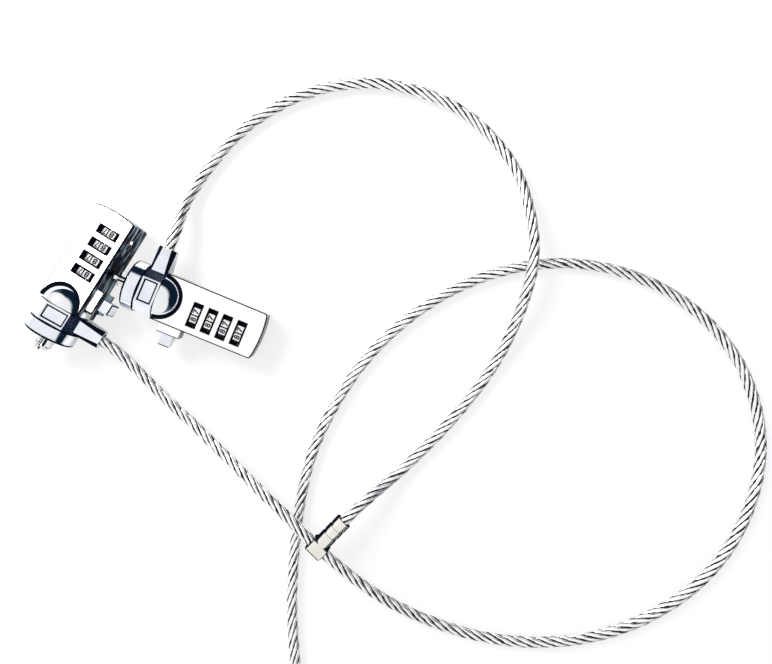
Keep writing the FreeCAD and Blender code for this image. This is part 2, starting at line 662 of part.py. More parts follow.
def detent_leaf(label):
    """Spring strip with one bent finger for each dial."""
    body = new_body(label)
    tip = "(dial_side - dial_radius - face_gap)"
    upper = [(f"-{LEAF_FRONT}", "-leaf_side")]
    lower = [(f"-{LEAF_FRONT}", f"-{LEAF_OUT}")]
    for index in range(DIAL_COUNT):
        spot = dial_place(index)
        upper += [(f"{spot} + finger_half", "-leaf_side"), (f"{spot} + finger_tip", tip),
                  (f"{spot} - finger_tip", tip), (f"{spot} - finger_half", "-leaf_side")]
        inner = "(finger_half - leaf_thick)"
        lower += [(f"{spot} + {inner}", f"-{LEAF_OUT}"),
                  (f"{spot} + finger_tip / 4", f"{tip} - 1.5 * leaf_thick"),
                  (f"{spot} - finger_tip / 4", f"{tip} - 1.5 * leaf_thick"),
                  (f"{spot} - {inner}", f"-{LEAF_OUT}")]
    upper.append((f"-{LEAF_REAR}", "-leaf_side"))
    lower.append((f"-{LEAF_REAR}", f"-{LEAF_OUT}"))
    pad(body, outline(body, "XY", upper + lower[::-1], "dial_height - leaf_half"),
        "2 * leaf_half")
    return body


def cover_rivets(label):
    parts = []
    for spot in RIVETS:
        parts += [rod("z", (f"-{FACE}", "rivet_top"), "rivet_radius", spot),
                  rod("z", (f"-{FACE}", f"-{FACE} + rivet_head_thick"), "rivet_head", spot)]
    return joined(parts, label)


def reset_slider(label):
    """Small slide in the side slot, with the plate that keeps it in."""
    mid = "dial_height"
    plate = block(("-slider_front - slider_length", "-slider_front"),
                  (f"{SIDE} - face_gap - slider_thick", f"{SIDE} - face_gap"),
                  (f"{mid} - slider_half", f"{mid} + slider_half"))
    knob = block(("-slot_front - face_gap - knob_width", "-slot_front - face_gap"),
                 (f"{SIDE} - face_gap - 0.1", "body_width / 2 + knob_proud"),
                 (f"{mid} - slot_half + face_gap", f"{mid} + slot_half - face_gap"))
    return joined([plate, knob], label)


# How a head lies: its ball and its far end both rest on the surface

def head_pitch(roll):
    """Nose-up angle at which the far end's lowest edge and the ball touch the surface."""
    length, radius = value("body_length"), value("ball_radius")
    drop = (value("body_width / 2") * abs(math.sin(math.radians(roll)))
            + value(FACE) * math.cos(math.radians(roll)))
    reach = math.hypot(length, drop)
    return math.degrees(math.asin(radius / reach) - math.atan(drop / length))


def stem_frame(head):
    """Placement of a head's frame with no roll about the stem."""
    spot = Vector(value(f"head_{head}_x"), value(f"head_{head}_y"), value("ball_radius"))
    turn = Rotation(Vector(0, 0, 1), value(f"head_{head}_turn"))
    tilt = Rotation(Vector(0, 1, 0), -head_pitch(value(f"head_{head}_roll")))
    return Placement(spot, turn.multiply(tilt))


def rolled(frame, angle):
    return frame.multiply(Placement(Vector(), Rotation(Vector(1, 0, 0), angle)))


PIECES = {}


def keep(made, label, spot):
    made.Label = label
    made.Placement = spot
    PIECES[label] = made


def lock_head(head):
    """Every piece of one head, each with its own label, laid in the head's frame."""
    stem = stem_frame(head)
    body = rolled(stem, value(f"head_{head}_roll"))
    ring = rolled(stem, value(f"head_{head}_sleeve"))
    name = f"head_{head}_"
    keep(cover(name + "front_cover", True), name + "front_cover", body)
    keep(cover(name + "back_cover", False), name + "back_cover", body)
    for make in (ball_housing, nose_disc, slot_tongues, t_bar, push_button, dial_axle,
                 detent_leaf, cover_rivets, reset_slider):
        label = name + make.__name__
        keep(make(label), label, body)
    for make in (swivel_ring, cable_stop):
        label = name + make.__name__
        keep(make(label), label, ring)

    label = name + "button_spring"
    seat = Vector(-value("spring_x"), value("post_face + running_gap"), 0)
    keep(coil_spring(label, "spring_radius", "spring_wire", "spring_pitch",
                     "(spring_depth - post_face - 2 * running_gap)"),
         label, body.multiply(Placement(seat, Rotation(Vector(1, 0, 0), -90))))
    label = name + "axle_spring"
    rear_gap = f"({AXLE_END} + {REAR})"
    seat = Vector(value(f"{REAR} + running_gap"), value("dial_side"), value("dial_height"))
    keep(coil_spring(label, "axle_spring_radius", "axle_spring_wire", "axle_spring_pitch",
                     f"(-{rear_gap} - 2 * running_gap)"),
         label, body.multiply(Placement(seat, Rotation(Vector(0, 1, 0), 90))))

    for index in range(DIAL_COUNT):
        seat = Placement(Vector(value(dial_place(index)), value("dial_side"),
                                value("dial_height")), Rotation())
        for make, word in ((dial, "dial"), (code_ring, "code_ring")):
            label = f"{name}{word}_{index + 1}"
            keep(make(label), label, body.multiply(seat))
    return ring


# Cable. Each route is a list of points, joined by straight runs and tangent arcs.

FLOOR_LINE = value("cable_radius") + 0.05
CROSSING = FLOOR_LINE + 4 * value("cable_radius")
OUTER_TURN = value("coil_x - coil_radius - (coil_across - 1) * cable_radius")

MAIN_ROUTE = [
    (-1.7, -43.3, FLOOR_LINE), (20.6, -63.9, FLOOR_LINE), (51.5, -90.6, CROSSING),
    (83.3, -121.9, CROSSING), (114.5, -143.3, FLOOR_LINE), (151.5, -152.8, FLOOR_LINE),
    (191.5, -149.4, FLOOR_LINE), (226.5, -131.3, FLOOR_LINE), (248.8, -103.6, FLOOR_LINE),
    (257.9, -66.3, FLOOR_LINE), (245.6, -27.7, FLOOR_LINE), (213.9, 0.5, FLOOR_LINE),
    (170.8, 10.8, FLOOR_LINE), (127.8, 0.3, FLOOR_LINE), (92.6, -25.4, FLOOR_LINE),
    (70.4, -59.0, FLOOR_LINE), (61.0, -88.3, FLOOR_LINE), (56.9, -132.3, FLOOR_LINE),
    (OUTER_TURN, -170.1, FLOOR_LINE), (OUTER_TURN, value("coil_y"), FLOOR_LINE)]

BRANCH_ROUTE = [
    (13.9, 37.8, FLOOR_LINE), (41.0, 71.0, FLOOR_LINE), (82.5, 86.8, FLOOR_LINE),
    (123.6, 78.5, FLOOR_LINE), (150.5, 54.0, FLOOR_LINE), (157.5, 25.5, CROSSING),
    (157.8, 2.4, CROSSING), (146.7, -30.3, FLOOR_LINE), (126.3, -57.2, FLOOR_LINE),
    (101.9, -81.2, FLOOR_LINE)]


def bent_path(points):
    """Wire of straight runs joined by tangent arcs, each as large as its runs allow."""
    edges = []
    radii = []
    start = points[0]
    for before, corner, after in zip(points, points[1:], points[2:]):
        back = (before - corner)
        ahead = (after - corner)
        inward, outward = back.Length, ahead.Length
        back.normalize()
        ahead.normalize()
        half_turn = (math.pi - back.getAngle(ahead)) / 2
        reach = 0.45 * min(inward, outward)
        radius = reach / math.tan(half_turn)
        entry, leave = corner + back * reach, corner + ahead * reach
        towards = (back + ahead).normalize()
        middle = corner + towards * (math.hypot(radius, reach) - radius)
        edges.append(Part.LineSegment(start, entry).toShape())
        edges.append(Part.Arc(entry, middle, leave).toShape())
        radii.append(radius)
        start = leave
    edges.append(Part.LineSegment(start, points[-1]).toShape())
    return Part.Wire(edges), radii


def cable_tube(label, points):
    """Plain round tube along a route; its volume is set against section times length."""
    wire, radii = bent_path(points)
    first = wire.Edges[0]
    section = Part.Wire(Part.Circle(first.valueAt(first.FirstParameter),
                                    first.tangentAt(first.FirstParameter),
                                    value("cable_radius")).toShape())
    tube = wire.makePipeShell([section], True, False)
    expected = math.pi * value("cable_radius") ** 2 * wire.Length
    runs = [(a - b).Length for a, b in zip(points, points[1:])]
    print(f"{label}: {wire.Length:.1f} mm long, runs {min(runs):.1f} to {max(runs):.1f},"
          f" volume {tube.Volume / expected:.4f} of section x length")
    print("  radii " + " ".join(f"{radius:.0f}" for radius in radii))
    print("  points " + " ".join(f"({p.x:.2f},{p.y:.2f},{p.z:.2f})" for p in points))
    made = doc.addObject("Part::Feature", label)
    made.Shape = tube
    keep(made, label, Placement())
    return wire.Length


def sleeve_points(ring, lengths):
    """Points on the middle line of a swivel ring's sleeve."""
    middle = value(SLEEVE_MIDDLE)
    return [ring.multVec(Vector(middle, length, 0)) for length in lengths]


def clamp_frame():
    """The clamp's frame: X along the main cable's raised run, Y towards the branch."""
    before, after = (Vector(*point) for point in MAIN_ROUTE[2:4])
    along = after - before
    spot = before + along * value("clamp_share")
    return Placement(spot, Rotation(Vector(0, 0, 1), math.degrees(math.atan2(along.y, along.x))))


def t_clamp(label):
    """Collar round the main cable with the branch's crimp sleeve square to it."""
    half = "clamp_length / 2"
    collar = eased(rod("x", (f"-{half}", half), "clamp_radius"), "Chamfer",
                   [(lambda p: True, "disc_edge")])
    sleeve = rod("y", ("clamp_radius / 2", "clamp_reach"), "clamp_sleeve")
    tools = [rod("x", (f"-{half} - 1", f"{half} + 1"), "cable_radius + part_gap"),
             rod("y", ("clamp_web", "clamp_reach + 1"), "cable_radius + crimp_gap")]
    for share in (1, 2):
        middle = f"(clamp_radius + {share} * (clamp_reach - clamp_radius) / 3)"
        span = (f"{middle} - crimp_width / 2", f"{middle} + crimp_width / 2")
        tools.append(cut(rod("y", span, "clamp_sleeve + 1"),
                         [rod("y", (f"{span[0]} - 1", f"{span[1]} + 1"),
                              "clamp_sleeve - crimp_depth")]))
    return cut(joined([collar, sleeve]), tools, label)


def coil_solid(label):
    """Outer shape of the stored turns: a ring as wide and high as the turns laid together."""
    wide = "(coil_across * cable_radius * 2)"
    high = value("coil_layers * cable_radius * 2")
    lift = FLOOR_LINE - value("cable_radius")
    whole = rod("z", (f"{lift}", f"{lift + high}"), f"coil_radius + {wide} / 2")
    hole = rod("z", (f"{lift - 1}", f"{lift + high + 1}"), f"coil_radius - {wide} / 2")
    ring = cut(whole, [hole])
    return eased(ring, "Fillet", [(lambda p: True, "cable_radius * 0.9")], label)


def eye_frame():
    """Where the tail enters the ferrule: beside the coil, pointing along +X."""
    return Placement(Vector(value("coil_x + eye_lead"), value("coil_y - coil_radius - 2 * cable_radius"),
                            FERRULE_LINE), Rotation())


FERRULE_LINE = value("cable_radius + ferrule_wall") + 0.05


def eye_ferrule(label):
    """Oval double-barrel crimp that closes the cable's end loop."""
    height = "(cable_radius + ferrule_wall)"
    strand = "(cable_radius + crimp_gap)"
    span = ("0", "ferrule_length")
    oval = joined([rod("x", span, height, (f"-{strand}", "0")),
                   rod("x", span, height, (strand, "0")),
                   block(span, (f"-{strand}", strand), (f"-{height}", height))])
    rounded = eased(oval, "Chamfer", [
        (lambda p: abs(p.x) < 0.001 or abs(p.x - value("ferrule_length")) < 0.001,
         "disc_edge")])
    tools = [rod("x", ("-1", "ferrule_length + 1"), strand, (f"-{strand}", "0")),
             rod("x", ("ferrule_length / 4", "ferrule_length + 1"), strand, (strand, "0"))]
    return cut(rounded, tools, label)


def build_cable(ring_a, ring_b):
    inner = value("stop_outer - stop_grip")
    start = sleeve_points(ring_a, (inner, value("sleeve_reach + cable_lead")))
    cable_tube("main_cable", start + [Vector(*point) for point in MAIN_ROUTE])

    frame = clamp_frame()
    ends = [frame.multVec(Vector(0, reach, 0))
            for reach in (value("clamp_reach + clamp_lead"), value("clamp_web + crimp_gap"))]
    start = sleeve_points(ring_b, (inner, value("sleeve_reach + cable_lead")))
    cable_tube("branch_cable", start + [Vector(*point) for point in BRANCH_ROUTE] + ends)
    keep(t_clamp("t_clamp"), "t_clamp", frame)

    spot = Vector(value("coil_x"), value("coil_y"), 0)
    keep(coil_solid("cable_coil"), "cable_coil", Placement(spot, Rotation()))

    eye = eye_frame()
    strand = value("cable_radius + crimp_gap")
    tail_start = Vector(value("coil_x"), eye.Base.y, FLOOR_LINE)
    tail = [tail_start, tail_start + Vector(value("tail_step"), -strand / 2, 0.4),
            eye.multVec(Vector(-value("tail_entry"), -strand, 0)),
            eye.multVec(Vector(value("ferrule_length") - 0.3, -strand, 0))]
    keep(eye_ferrule("eye_ferrule"), "eye_ferrule", eye)
    length, half = value("eye_length"), value("eye_half")
    mouth = value("ferrule_length")
    loop = [(mouth, -strand), (mouth + 0.3 * length, -half), (mouth + 0.75 * length, -half - 1),
            (mouth + length, 0), (mouth + 0.75 * length, half + 1),
            (mouth + 0.3 * length, half), (mouth / 4 + 0.3, strand)]
    return tail, [eye.multVec(Vector(x, y, 0)) for x, y in loop]


ring_a = lock_head("a")
ring_b = lock_head("b")
tail, loop = build_cable(ring_a, ring_b)
cable_tube("cable_tail", tail)
cable_tube("eye_loop", loop)
doc.recompute()

problems = []
for made in doc.Objects:
    if "Invalid" in made.State or "Error" in made.State:
        problems.append(f"{made.Name} ({made.Label}) is {made.State}")
for label, made in PIECES.items():
    if made.Shape.isNull() or not made.Shape.isValid() or not made.Shape.Solids:
        problems.append(f"{label} has no valid solid")
if problems:
    raise ValueError("; ".join(problems))

os.makedirs("parts", exist_ok=True)
for label, made in PIECES.items():
    made.Shape.exportStep(f"parts/{label}.step")
print(len(PIECES), "pieces written")
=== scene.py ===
# %% [markdown]
# # A laptop cable lock, dressed for its picture
#
# The lock has two small combination heads on one steel cable. The construction comes from the
# frame: every case, dial and ring is there at its real size. This lesson adds what a camera sees:
# the twisted strands of the cable, the figures on the dials and a finish for each piece.

# %% Load the frame
import json
import math

import bmesh
import bpy
from mathutils import Matrix, Vector

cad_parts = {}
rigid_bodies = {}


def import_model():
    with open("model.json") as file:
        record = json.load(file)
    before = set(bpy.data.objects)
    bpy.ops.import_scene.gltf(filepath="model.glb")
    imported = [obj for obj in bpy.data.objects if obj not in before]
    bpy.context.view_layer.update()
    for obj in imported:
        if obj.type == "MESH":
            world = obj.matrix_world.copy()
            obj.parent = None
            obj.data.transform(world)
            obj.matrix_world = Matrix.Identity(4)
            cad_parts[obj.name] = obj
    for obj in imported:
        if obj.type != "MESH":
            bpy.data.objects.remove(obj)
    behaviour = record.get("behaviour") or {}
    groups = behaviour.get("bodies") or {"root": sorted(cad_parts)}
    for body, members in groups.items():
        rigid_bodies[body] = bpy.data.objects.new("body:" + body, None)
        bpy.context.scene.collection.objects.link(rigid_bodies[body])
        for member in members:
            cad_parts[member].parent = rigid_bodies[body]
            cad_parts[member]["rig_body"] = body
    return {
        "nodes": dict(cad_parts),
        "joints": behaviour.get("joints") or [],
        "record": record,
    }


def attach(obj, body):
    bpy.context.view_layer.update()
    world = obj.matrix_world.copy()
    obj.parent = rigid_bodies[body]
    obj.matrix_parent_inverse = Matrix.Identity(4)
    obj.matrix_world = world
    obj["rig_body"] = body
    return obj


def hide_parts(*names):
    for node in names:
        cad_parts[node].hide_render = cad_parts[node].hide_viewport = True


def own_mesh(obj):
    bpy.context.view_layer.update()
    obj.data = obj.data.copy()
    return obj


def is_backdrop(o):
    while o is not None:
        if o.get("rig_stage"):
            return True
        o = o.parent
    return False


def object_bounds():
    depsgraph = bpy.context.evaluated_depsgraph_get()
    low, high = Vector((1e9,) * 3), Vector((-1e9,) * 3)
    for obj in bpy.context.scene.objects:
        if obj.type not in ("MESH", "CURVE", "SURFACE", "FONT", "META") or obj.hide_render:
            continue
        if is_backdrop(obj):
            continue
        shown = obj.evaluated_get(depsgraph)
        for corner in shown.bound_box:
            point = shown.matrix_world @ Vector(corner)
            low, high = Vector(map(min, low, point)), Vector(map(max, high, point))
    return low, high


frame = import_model()
cad_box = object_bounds()
joints = {joint["name"]: joint for joint in frame["joints"]}
MM = 0.001

# %% [markdown]
# ## Two helpers
#
# Blender keeps the data of an object and the object itself apart, and a curve or a modifier shows
# its mesh only once it is evaluated. Both steps come up again and again, so each is a function.

# %% Write the helpers
def placed(name, data):
    """A new object in the scene."""
    made = bpy.data.objects.new(name, data)
    bpy.context.scene.collection.objects.link(made)
    return made


def evaluated_mesh(source):
    """A plain mesh of what an object shows."""
    bpy.context.view_layer.update()
    graph = bpy.context.evaluated_depsgraph_get()
    return bpy.data.meshes.new_from_object(source.evaluated_get(graph))


print("helpers:", placed.__name__, "and", evaluated_mesh.__name__)

# %% [markdown]
# ## The camera
#
# The picture was taken from straight above, with the whole cable spread out on a white table.
# A camera without rotation already looks down, so only its place and its lens are set. The lens
# follows from how wide the view is on the table.

# %% Place the camera
CAMERA_SPOT = Vector((97.3, -20.8, 280.0)) * MM
SENSOR_WIDTH = 36.0
VIEW_WIDTH_AT_TABLE = 328.5 * MM
NEAREST_SEEN = 0.005

camera_data = bpy.data.cameras.new("camera_above")
camera_data.sensor_width = SENSOR_WIDTH
camera_data.lens = SENSOR_WIDTH * CAMERA_SPOT.z / VIEW_WIDTH_AT_TABLE
camera_data.clip_start = NEAREST_SEEN
camera = placed("camera_above", camera_data)
camera.location = CAMERA_SPOT
bpy.context.scene.camera = camera
print(f"lens {camera_data.lens:.2f} mm, {CAMERA_SPOT.z * 1000:.0f} mm above the table")

# %% [markdown]
# ## The way of each cable
#
# A steel cable in a jacket is stiff, so it lies in wide, even curves. The points below are in
# millimetres. Those of the first cable run from the first head round the big loop and out of the
# picture. There the rest of its length is put away in a flat coil, and it ends in a crimped eye.

# %% Lay out the two routes
CABLE_RADIUS = 2.5 * MM
TABLE_LINE = 2.55
OVER_LINE = 12.55
FERRULE_LINE = 3.55

MAIN_ROUTE = [
    (-30.65, -17.74, 9.30), (-14.67, -27.44, 6.51),
    (-1.7, -43.3, TABLE_LINE), (20.6, -63.9, TABLE_LINE), (51.5, -90.6, OVER_LINE),
    (83.3, -121.9, OVER_LINE), (114.5, -143.3, TABLE_LINE), (151.5, -152.8, TABLE_LINE),
    (191.5, -149.4, TABLE_LINE), (226.5, -131.3, TABLE_LINE), (248.8, -103.6, TABLE_LINE),
    (257.9, -66.3, TABLE_LINE), (245.6, -27.7, TABLE_LINE), (213.9, 0.5, TABLE_LINE),
    (170.8, 10.8, TABLE_LINE), (127.8, 0.3, TABLE_LINE), (92.6, -25.4, TABLE_LINE),
    (70.4, -59.0, TABLE_LINE), (61.0, -88.3, TABLE_LINE), (56.9, -132.3, TABLE_LINE),
    (59.8, -170.1, TABLE_LINE)]

BRANCH_ROUTE = [
    (3.87, 1.67, 10.41), (11.19, 19.09, 10.41),
    (13.9, 37.8, TABLE_LINE), (41.0, 71.0, TABLE_LINE), (82.5, 86.8, TABLE_LINE),
    (123.6, 78.5, TABLE_LINE), (150.5, 54.0, TABLE_LINE), (157.5, 25.5, OVER_LINE),
    (157.8, 2.4, OVER_LINE), (146.7, -30.3, TABLE_LINE), (126.3, -57.2, TABLE_LINE),
    (101.9, -81.2, TABLE_LINE), (85.45, -92.17, OVER_LINE), (73.41, -104.41, OVER_LINE)]

EYE_ROUTE = [
    (89.8, -227.8, 7.55), (101.8, -229.1, 4.6), (112.0, -230.3, FERRULE_LINE),
    (127.6, -230.3, FERRULE_LINE), (137.4, -235.8, FERRULE_LINE), (151.8, -236.8, FERRULE_LINE),
    (159.8, -227.8, FERRULE_LINE), (151.8, -218.8, FERRULE_LINE), (137.4, -219.8, FERRULE_LINE),
    (128.6, -225.2, FERRULE_LINE), (117.6, -225.27, FERRULE_LINE)]
print("points:", len(MAIN_ROUTE), "main,", len(BRANCH_ROUTE), "branch,", len(EYE_ROUTE), "eye")

# %% [markdown]
# ## The stored turns
#
# The coil winds inwards on the table and outwards again on top of itself. Each turn is a circle,
# and near its end the cable shifts over to the next radius. The control points stand a little
# outside the circle, because the spline cuts the corners between them.

# %% Wind the stored turns
COIL_CENTRE = (89.8, -197.8)
COIL_RADII = [30.0, 25.0, 20.0, 20.0, 25.0, 30.0]
COIL_END_TURNS = 6.25
POINTS_PER_TURN = 16
TURNS_INWARDS = 2
SHIFT_START_INWARDS = 0.83
SHIFT_START_LATER = 0.66
SHIFT_LENGTH = 0.17
RISE_START = 2.83
LAYER_RISE = 5.0


def eased_step(share):
    """A share from 0 to 1 that starts and ends softly."""
    share = min(max(share, 0.0), 1.0)
    return share * share * (3 - 2 * share)


def coil_points():
    """Control points of the stored turns."""
    points = []
    widen = 1 / math.cos(math.pi / POINTS_PER_TURN)
    for step in range(int(COIL_END_TURNS * POINTS_PER_TURN)):
        turns = step / POINTS_PER_TURN
        turn = int(turns)
        start = SHIFT_START_INWARDS if turn < TURNS_INWARDS else SHIFT_START_LATER
        near, far = (COIL_RADII[min(index, len(COIL_RADII) - 1)] for index in (turn, turn + 1))
        radius = near + (far - near) * eased_step((turns - turn - start) / SHIFT_LENGTH)
        lift = LAYER_RISE * eased_step((turns - RISE_START) / SHIFT_LENGTH)
        angle = math.pi + 2 * math.pi * turns
        points.append((COIL_CENTRE[0] + radius * widen * math.cos(angle),
                       COIL_CENTRE[1] + radius * widen * math.sin(angle),
                       TABLE_LINE + lift))
    return points


COIL_ROUTE = coil_points()
print("points:", len(COIL_ROUTE), "in the coil")

# %% [markdown]
# ## Smooth lines through the routes
#
# A NURBS spline of order 3 bends as a stiff cable does: never sharply between its control points.
# Its smooth line is read back as points, which carry the strands later and give the length.

# %% Draw the two lines
SPLINE_ORDER = 3
STEPS_BETWEEN_POINTS = 12


def spline_curve(name, route):
    """A NURBS curve with the route's points, given in millimetres, as its control points."""
    data = bpy.data.curves.new(name, "CURVE")
    data.dimensions = "3D"
    data.resolution_u = STEPS_BETWEEN_POINTS
    spline = data.splines.new("NURBS")
    spline.points.add(len(route) - 1)
    for point, place in zip(spline.points, route):
        point.co = (*(Vector(place) * MM), 1.0)
    spline.order_u = SPLINE_ORDER
    spline.use_endpoint_u = True
    return placed(name, data)


def read_line(curve):
    """The points of a curve's smooth line, and its length."""
    line = evaluated_mesh(curve)
    points = [vertex.co.copy() for vertex in line.vertices]
    bpy.data.meshes.remove(line)
    length = sum((b - a).length for a, b in zip(points, points[1:]))
    return points, length


main_curve = spline_curve("main_line", MAIN_ROUTE + COIL_ROUTE + EYE_ROUTE)
branch_curve = spline_curve("branch_line", BRANCH_ROUTE)
main_line, main_length = read_line(main_curve)
branch_line, branch_length = read_line(branch_curve)
print(f"main cable {main_length:.3f} m, branch {branch_length:.3f} m")

# %% [markdown]
# ## Shader maths that reads like Python
#
# Most finishes here are small formulas: a little noise, a dark line, a darker valley. Wiring them
# by hand is slow to write and slow to read. `Value` wraps one output of a node and overloads the
# operators, so `1 - mask * 0.4` adds its own Math nodes. `Wiring` holds a node tree, and its
# `node` method makes any other node. `Finish` is the tree of a material.

# %% Build the three small classes
class Value:
    """One output of a shader node, for use in expressions."""

    def __init__(self, wiring, socket):
        self.wiring = wiring
        self.socket = socket

    def __add__(self, other):
        return self.wiring.math("ADD", self, other)

    def __radd__(self, other):
        return self.wiring.math("ADD", other, self)

    def __sub__(self, other):
        return self.wiring.math("SUBTRACT", self, other)

    def __rsub__(self, other):
        return self.wiring.math("SUBTRACT", other, self)

    def __mul__(self, other):
        return self.wiring.math("MULTIPLY", self, other)

    def __rmul__(self, other):
        return self.wiring.math("MULTIPLY", other, self)

    def sine(self):
        return self.wiring.math("SINE", self, 0.0)

    def size(self):
        return self.wiring.math("ABSOLUTE", self, 0.0)

    def over(self, level):
        """One where the value is above a level, else zero."""
        return self.wiring.math("GREATER_THAN", self, level)


class Wiring:
    """A node tree with helpers to wire it."""

    def __init__(self, tree):
        self.tree = tree

    def node(self, kind, settings=None, inputs=None, out=0):
        """A node of any kind: its settings, the values or links of its sockets, its output."""
        made = self.tree.nodes.new(kind)
        for key, value in (settings or {}).items():
            setattr(made, key, value)
        for key, value in (inputs or {}).items():
            self.feed(made.inputs[key], value)
        return Value(self, made.outputs[out])

    def feed(self, socket, value):
        if isinstance(value, Value):
            self.tree.links.new(value.socket, socket)
        else:
            socket.default_value = value

    def math(self, operation, first, second):
        return self.node("ShaderNodeMath", {"operation": operation}, {0: first, 1: second})

    def noise(self, scale, detail=3.0):
        place = self.node("ShaderNodeTexCoord", out="Object")
        return self.node("ShaderNodeTexNoise", None,
                         {"Vector": place, "Scale": scale, "Detail": detail})

    def attribute(self, name, out="Fac"):
        return self.node("ShaderNodeAttribute", {"attribute_name": name}, out=out)

    def own_place(self):
        """Where a point lies on its piece, in millimetres: along, across and up."""
        split = self.tree.nodes.new("ShaderNodeSeparateXYZ")
        self.feed(split.inputs[0], self.attribute("own_place", "Vector"))
        return [Value(self, output) for output in split.outputs]

    def within(self, value, low, high, to_low=0.0, to_high=1.0):
        """Map a value from one range to another and hold it there."""
        return self.node("ShaderNodeMapRange", None, {
            "Value": value, "From Min": low, "From Max": high,
            "To Min": to_low, "To Max": to_high})

    def blend(self, share, first, second):
        """A colour between two others."""
        return self.node("ShaderNodeMix", {"data_type": "RGBA"},
                         {"Factor": share, 6: first, 7: second}, out=2)


class Finish(Wiring):
    """A material with one Principled BSDF."""

    def __init__(self, name, **surface):
        self.material = bpy.data.materials.new(name)
        self.material.use_nodes = True
        super().__init__(self.material.node_tree)
        self.surface = self.tree.nodes["Principled BSDF"]
        for key, value in surface.items():
            self.surface.inputs[key.replace("_", " ")].default_value = value

    def drive(self, key, value):
        """Feed one socket of the surface shader."""
        self.feed(self.surface.inputs[key], value)

    def bump(self, height, strength, distance):
        self.drive("Normal", self.node("ShaderNodeBump", None, {
            "Height": height, "Strength": strength, "Distance": distance}))


def grey(level, blue=0.0):
    """A neutral colour, slightly cooler with more blue."""
    return (level, level + blue / 2, level + blue, 1.0)


print("classes:", Value.__name__, Wiring.__name__, Finish.__name__)

# %% [markdown]
# ## The cable's finish
#
# The cable is a wire rope: strands of fine bright wire laid round a core, under a clear plastic
# jacket. Each strand shines along its crest and is nearly black in the shaded valley beside it.
# Geometry alone gives that shading only from very close, so the finish paints the shade: it
# darkens towards the cable's middle line, and the distance from that line is stored on the mesh.
# The painted valleys aren't metal, because even black metal mirrors the sky at a flat angle. Fine
# slanted ribs stand for the wires.

# %% Make the strand and jacket finishes
STRAND_COUNT = 6
STRAND_RADIUS = 0.84 * MM
LAY_RADIUS = 1.54 * MM
LAY_LENGTH = 29.6 * MM
WIRES = 7
WIRE_LAY = 7.0 * MM
WIRE_DEPTH = 0.05 * MM
CREST_START = LAY_RADIUS + 0.63 * STRAND_RADIUS
CREST_END = LAY_RADIUS + 0.69 * STRAND_RADIUS
CREST_WANDER = 0.8 * STRAND_RADIUS
# Painted shade: the near-black colour of the valleys between the strands.
PAINTED_VALLEY_SHADE = grey(0.001, 0.002)
WIRE_TONE = grey(0.98, 0.01)
VALLEY_ROUGHNESS = 0.95
WIRE_ROUGHNESS = 0.35


def strand_finish():
    """Bright metal on the crests of the strands, and painted shade, black and dull, between them.
    """
    finish = Finish("bright_wire_rope", Specular_IOR_Level=0.0)
    uneven = (finish.noise(380.0, 1.0) - 0.5) * CREST_WANDER
    crest = finish.within(finish.attribute("from_axis") + uneven, CREST_START, CREST_END)
    wires = (finish.attribute("around") * (2 * math.pi * WIRES)
             + finish.attribute("along") * (2 * math.pi / WIRE_LAY)).sine()
    tone = finish.noise(900.0) * 0.2 + wires * 0.1 + 0.9
    finish.drive("Base Color", finish.blend(crest * tone, PAINTED_VALLEY_SHADE, WIRE_TONE))
    finish.drive("Metallic", crest)
    finish.drive("Roughness", finish.within(crest, 0.0, 1.0, VALLEY_ROUGHNESS, WIRE_ROUGHNESS))
    finish.bump(wires, 0.4, WIRE_DEPTH)
    return finish.material


def jacket_finish():
    """Clear plastic that only shows as a soft gloss and a trace of haze."""
    finish = Finish("clear_jacket", Base_Color=grey(0.95, 0.02), IOR=1.46)
    haze = finish.noise(350.0)
    finish.drive("Roughness", finish.within(haze, 0.35, 0.65, 0.05, 0.16))
    finish.drive("Alpha", finish.within(haze, 0.3, 0.7, 0.01, 0.03))
    return finish.material


wire_rope = strand_finish()
clear_jacket = jacket_finish()
print("finishes:", wire_rope.name, "and", clear_jacket.name)

# %% [markdown]
# ## Geometry Nodes from a script
#
# A tree of Geometry Nodes is wired much like a material. `Tree` keeps the identifier of each named
# input, because a modifier is set by identifier and not by name. Two functions make what the cable
# needs: a number stored on the geometry, and a round section swept along a line.

# %% Write a small class for the trees
class Tree:
    """A Geometry Nodes tree with named inputs."""

    def __init__(self, name):
        self.tree = bpy.data.node_groups.new(name, "GeometryNodeTree")
        for way in ("INPUT", "OUTPUT"):
            self.tree.interface.new_socket("Geometry", in_out=way,
                                           socket_type="NodeSocketGeometry")
        self.enter = self.tree.nodes.new("NodeGroupInput")
        self.leave = self.tree.nodes.new("NodeGroupOutput")
        self.identifiers = {}

    def input(self, name, kind):
        item = self.tree.interface.new_socket(name, in_out="INPUT", socket_type=kind)
        self.identifiers[name] = item.identifier
        return self.enter.outputs[name]

    def node(self, kind, settings=None, inputs=None):
        made = self.tree.nodes.new(kind)
        for key, value in (settings or {}).items():
            setattr(made, key, value)
        for key, value in (inputs or {}).items():
            if isinstance(value, bpy.types.NodeSocket):
                self.tree.links.new(value, made.inputs[key])
            else:
                made.inputs[key].default_value = value
        return made

    def maths(self, operation, first, second=0.0):
        return self.node("ShaderNodeMath", {"operation": operation},
                         {0: first, 1: second}).outputs[0]

    def scaled(self, vector, share):
        return self.node("ShaderNodeVectorMath", {"operation": "SCALE"},
                         {0: vector, "Scale": share}).outputs[0]

    def finish(self, geometry):
        self.tree.links.new(geometry, self.leave.inputs[0])
        return self


def stored(tree, geometry, name, value):
    """Keep a number on the points of the geometry under a name."""
    return tree.node("GeometryNodeStoreNamedAttribute",
                     {"data_type": "FLOAT", "domain": "POINT"},
                     {"Geometry": geometry, "Name": name, "Value": value}).outputs[0]


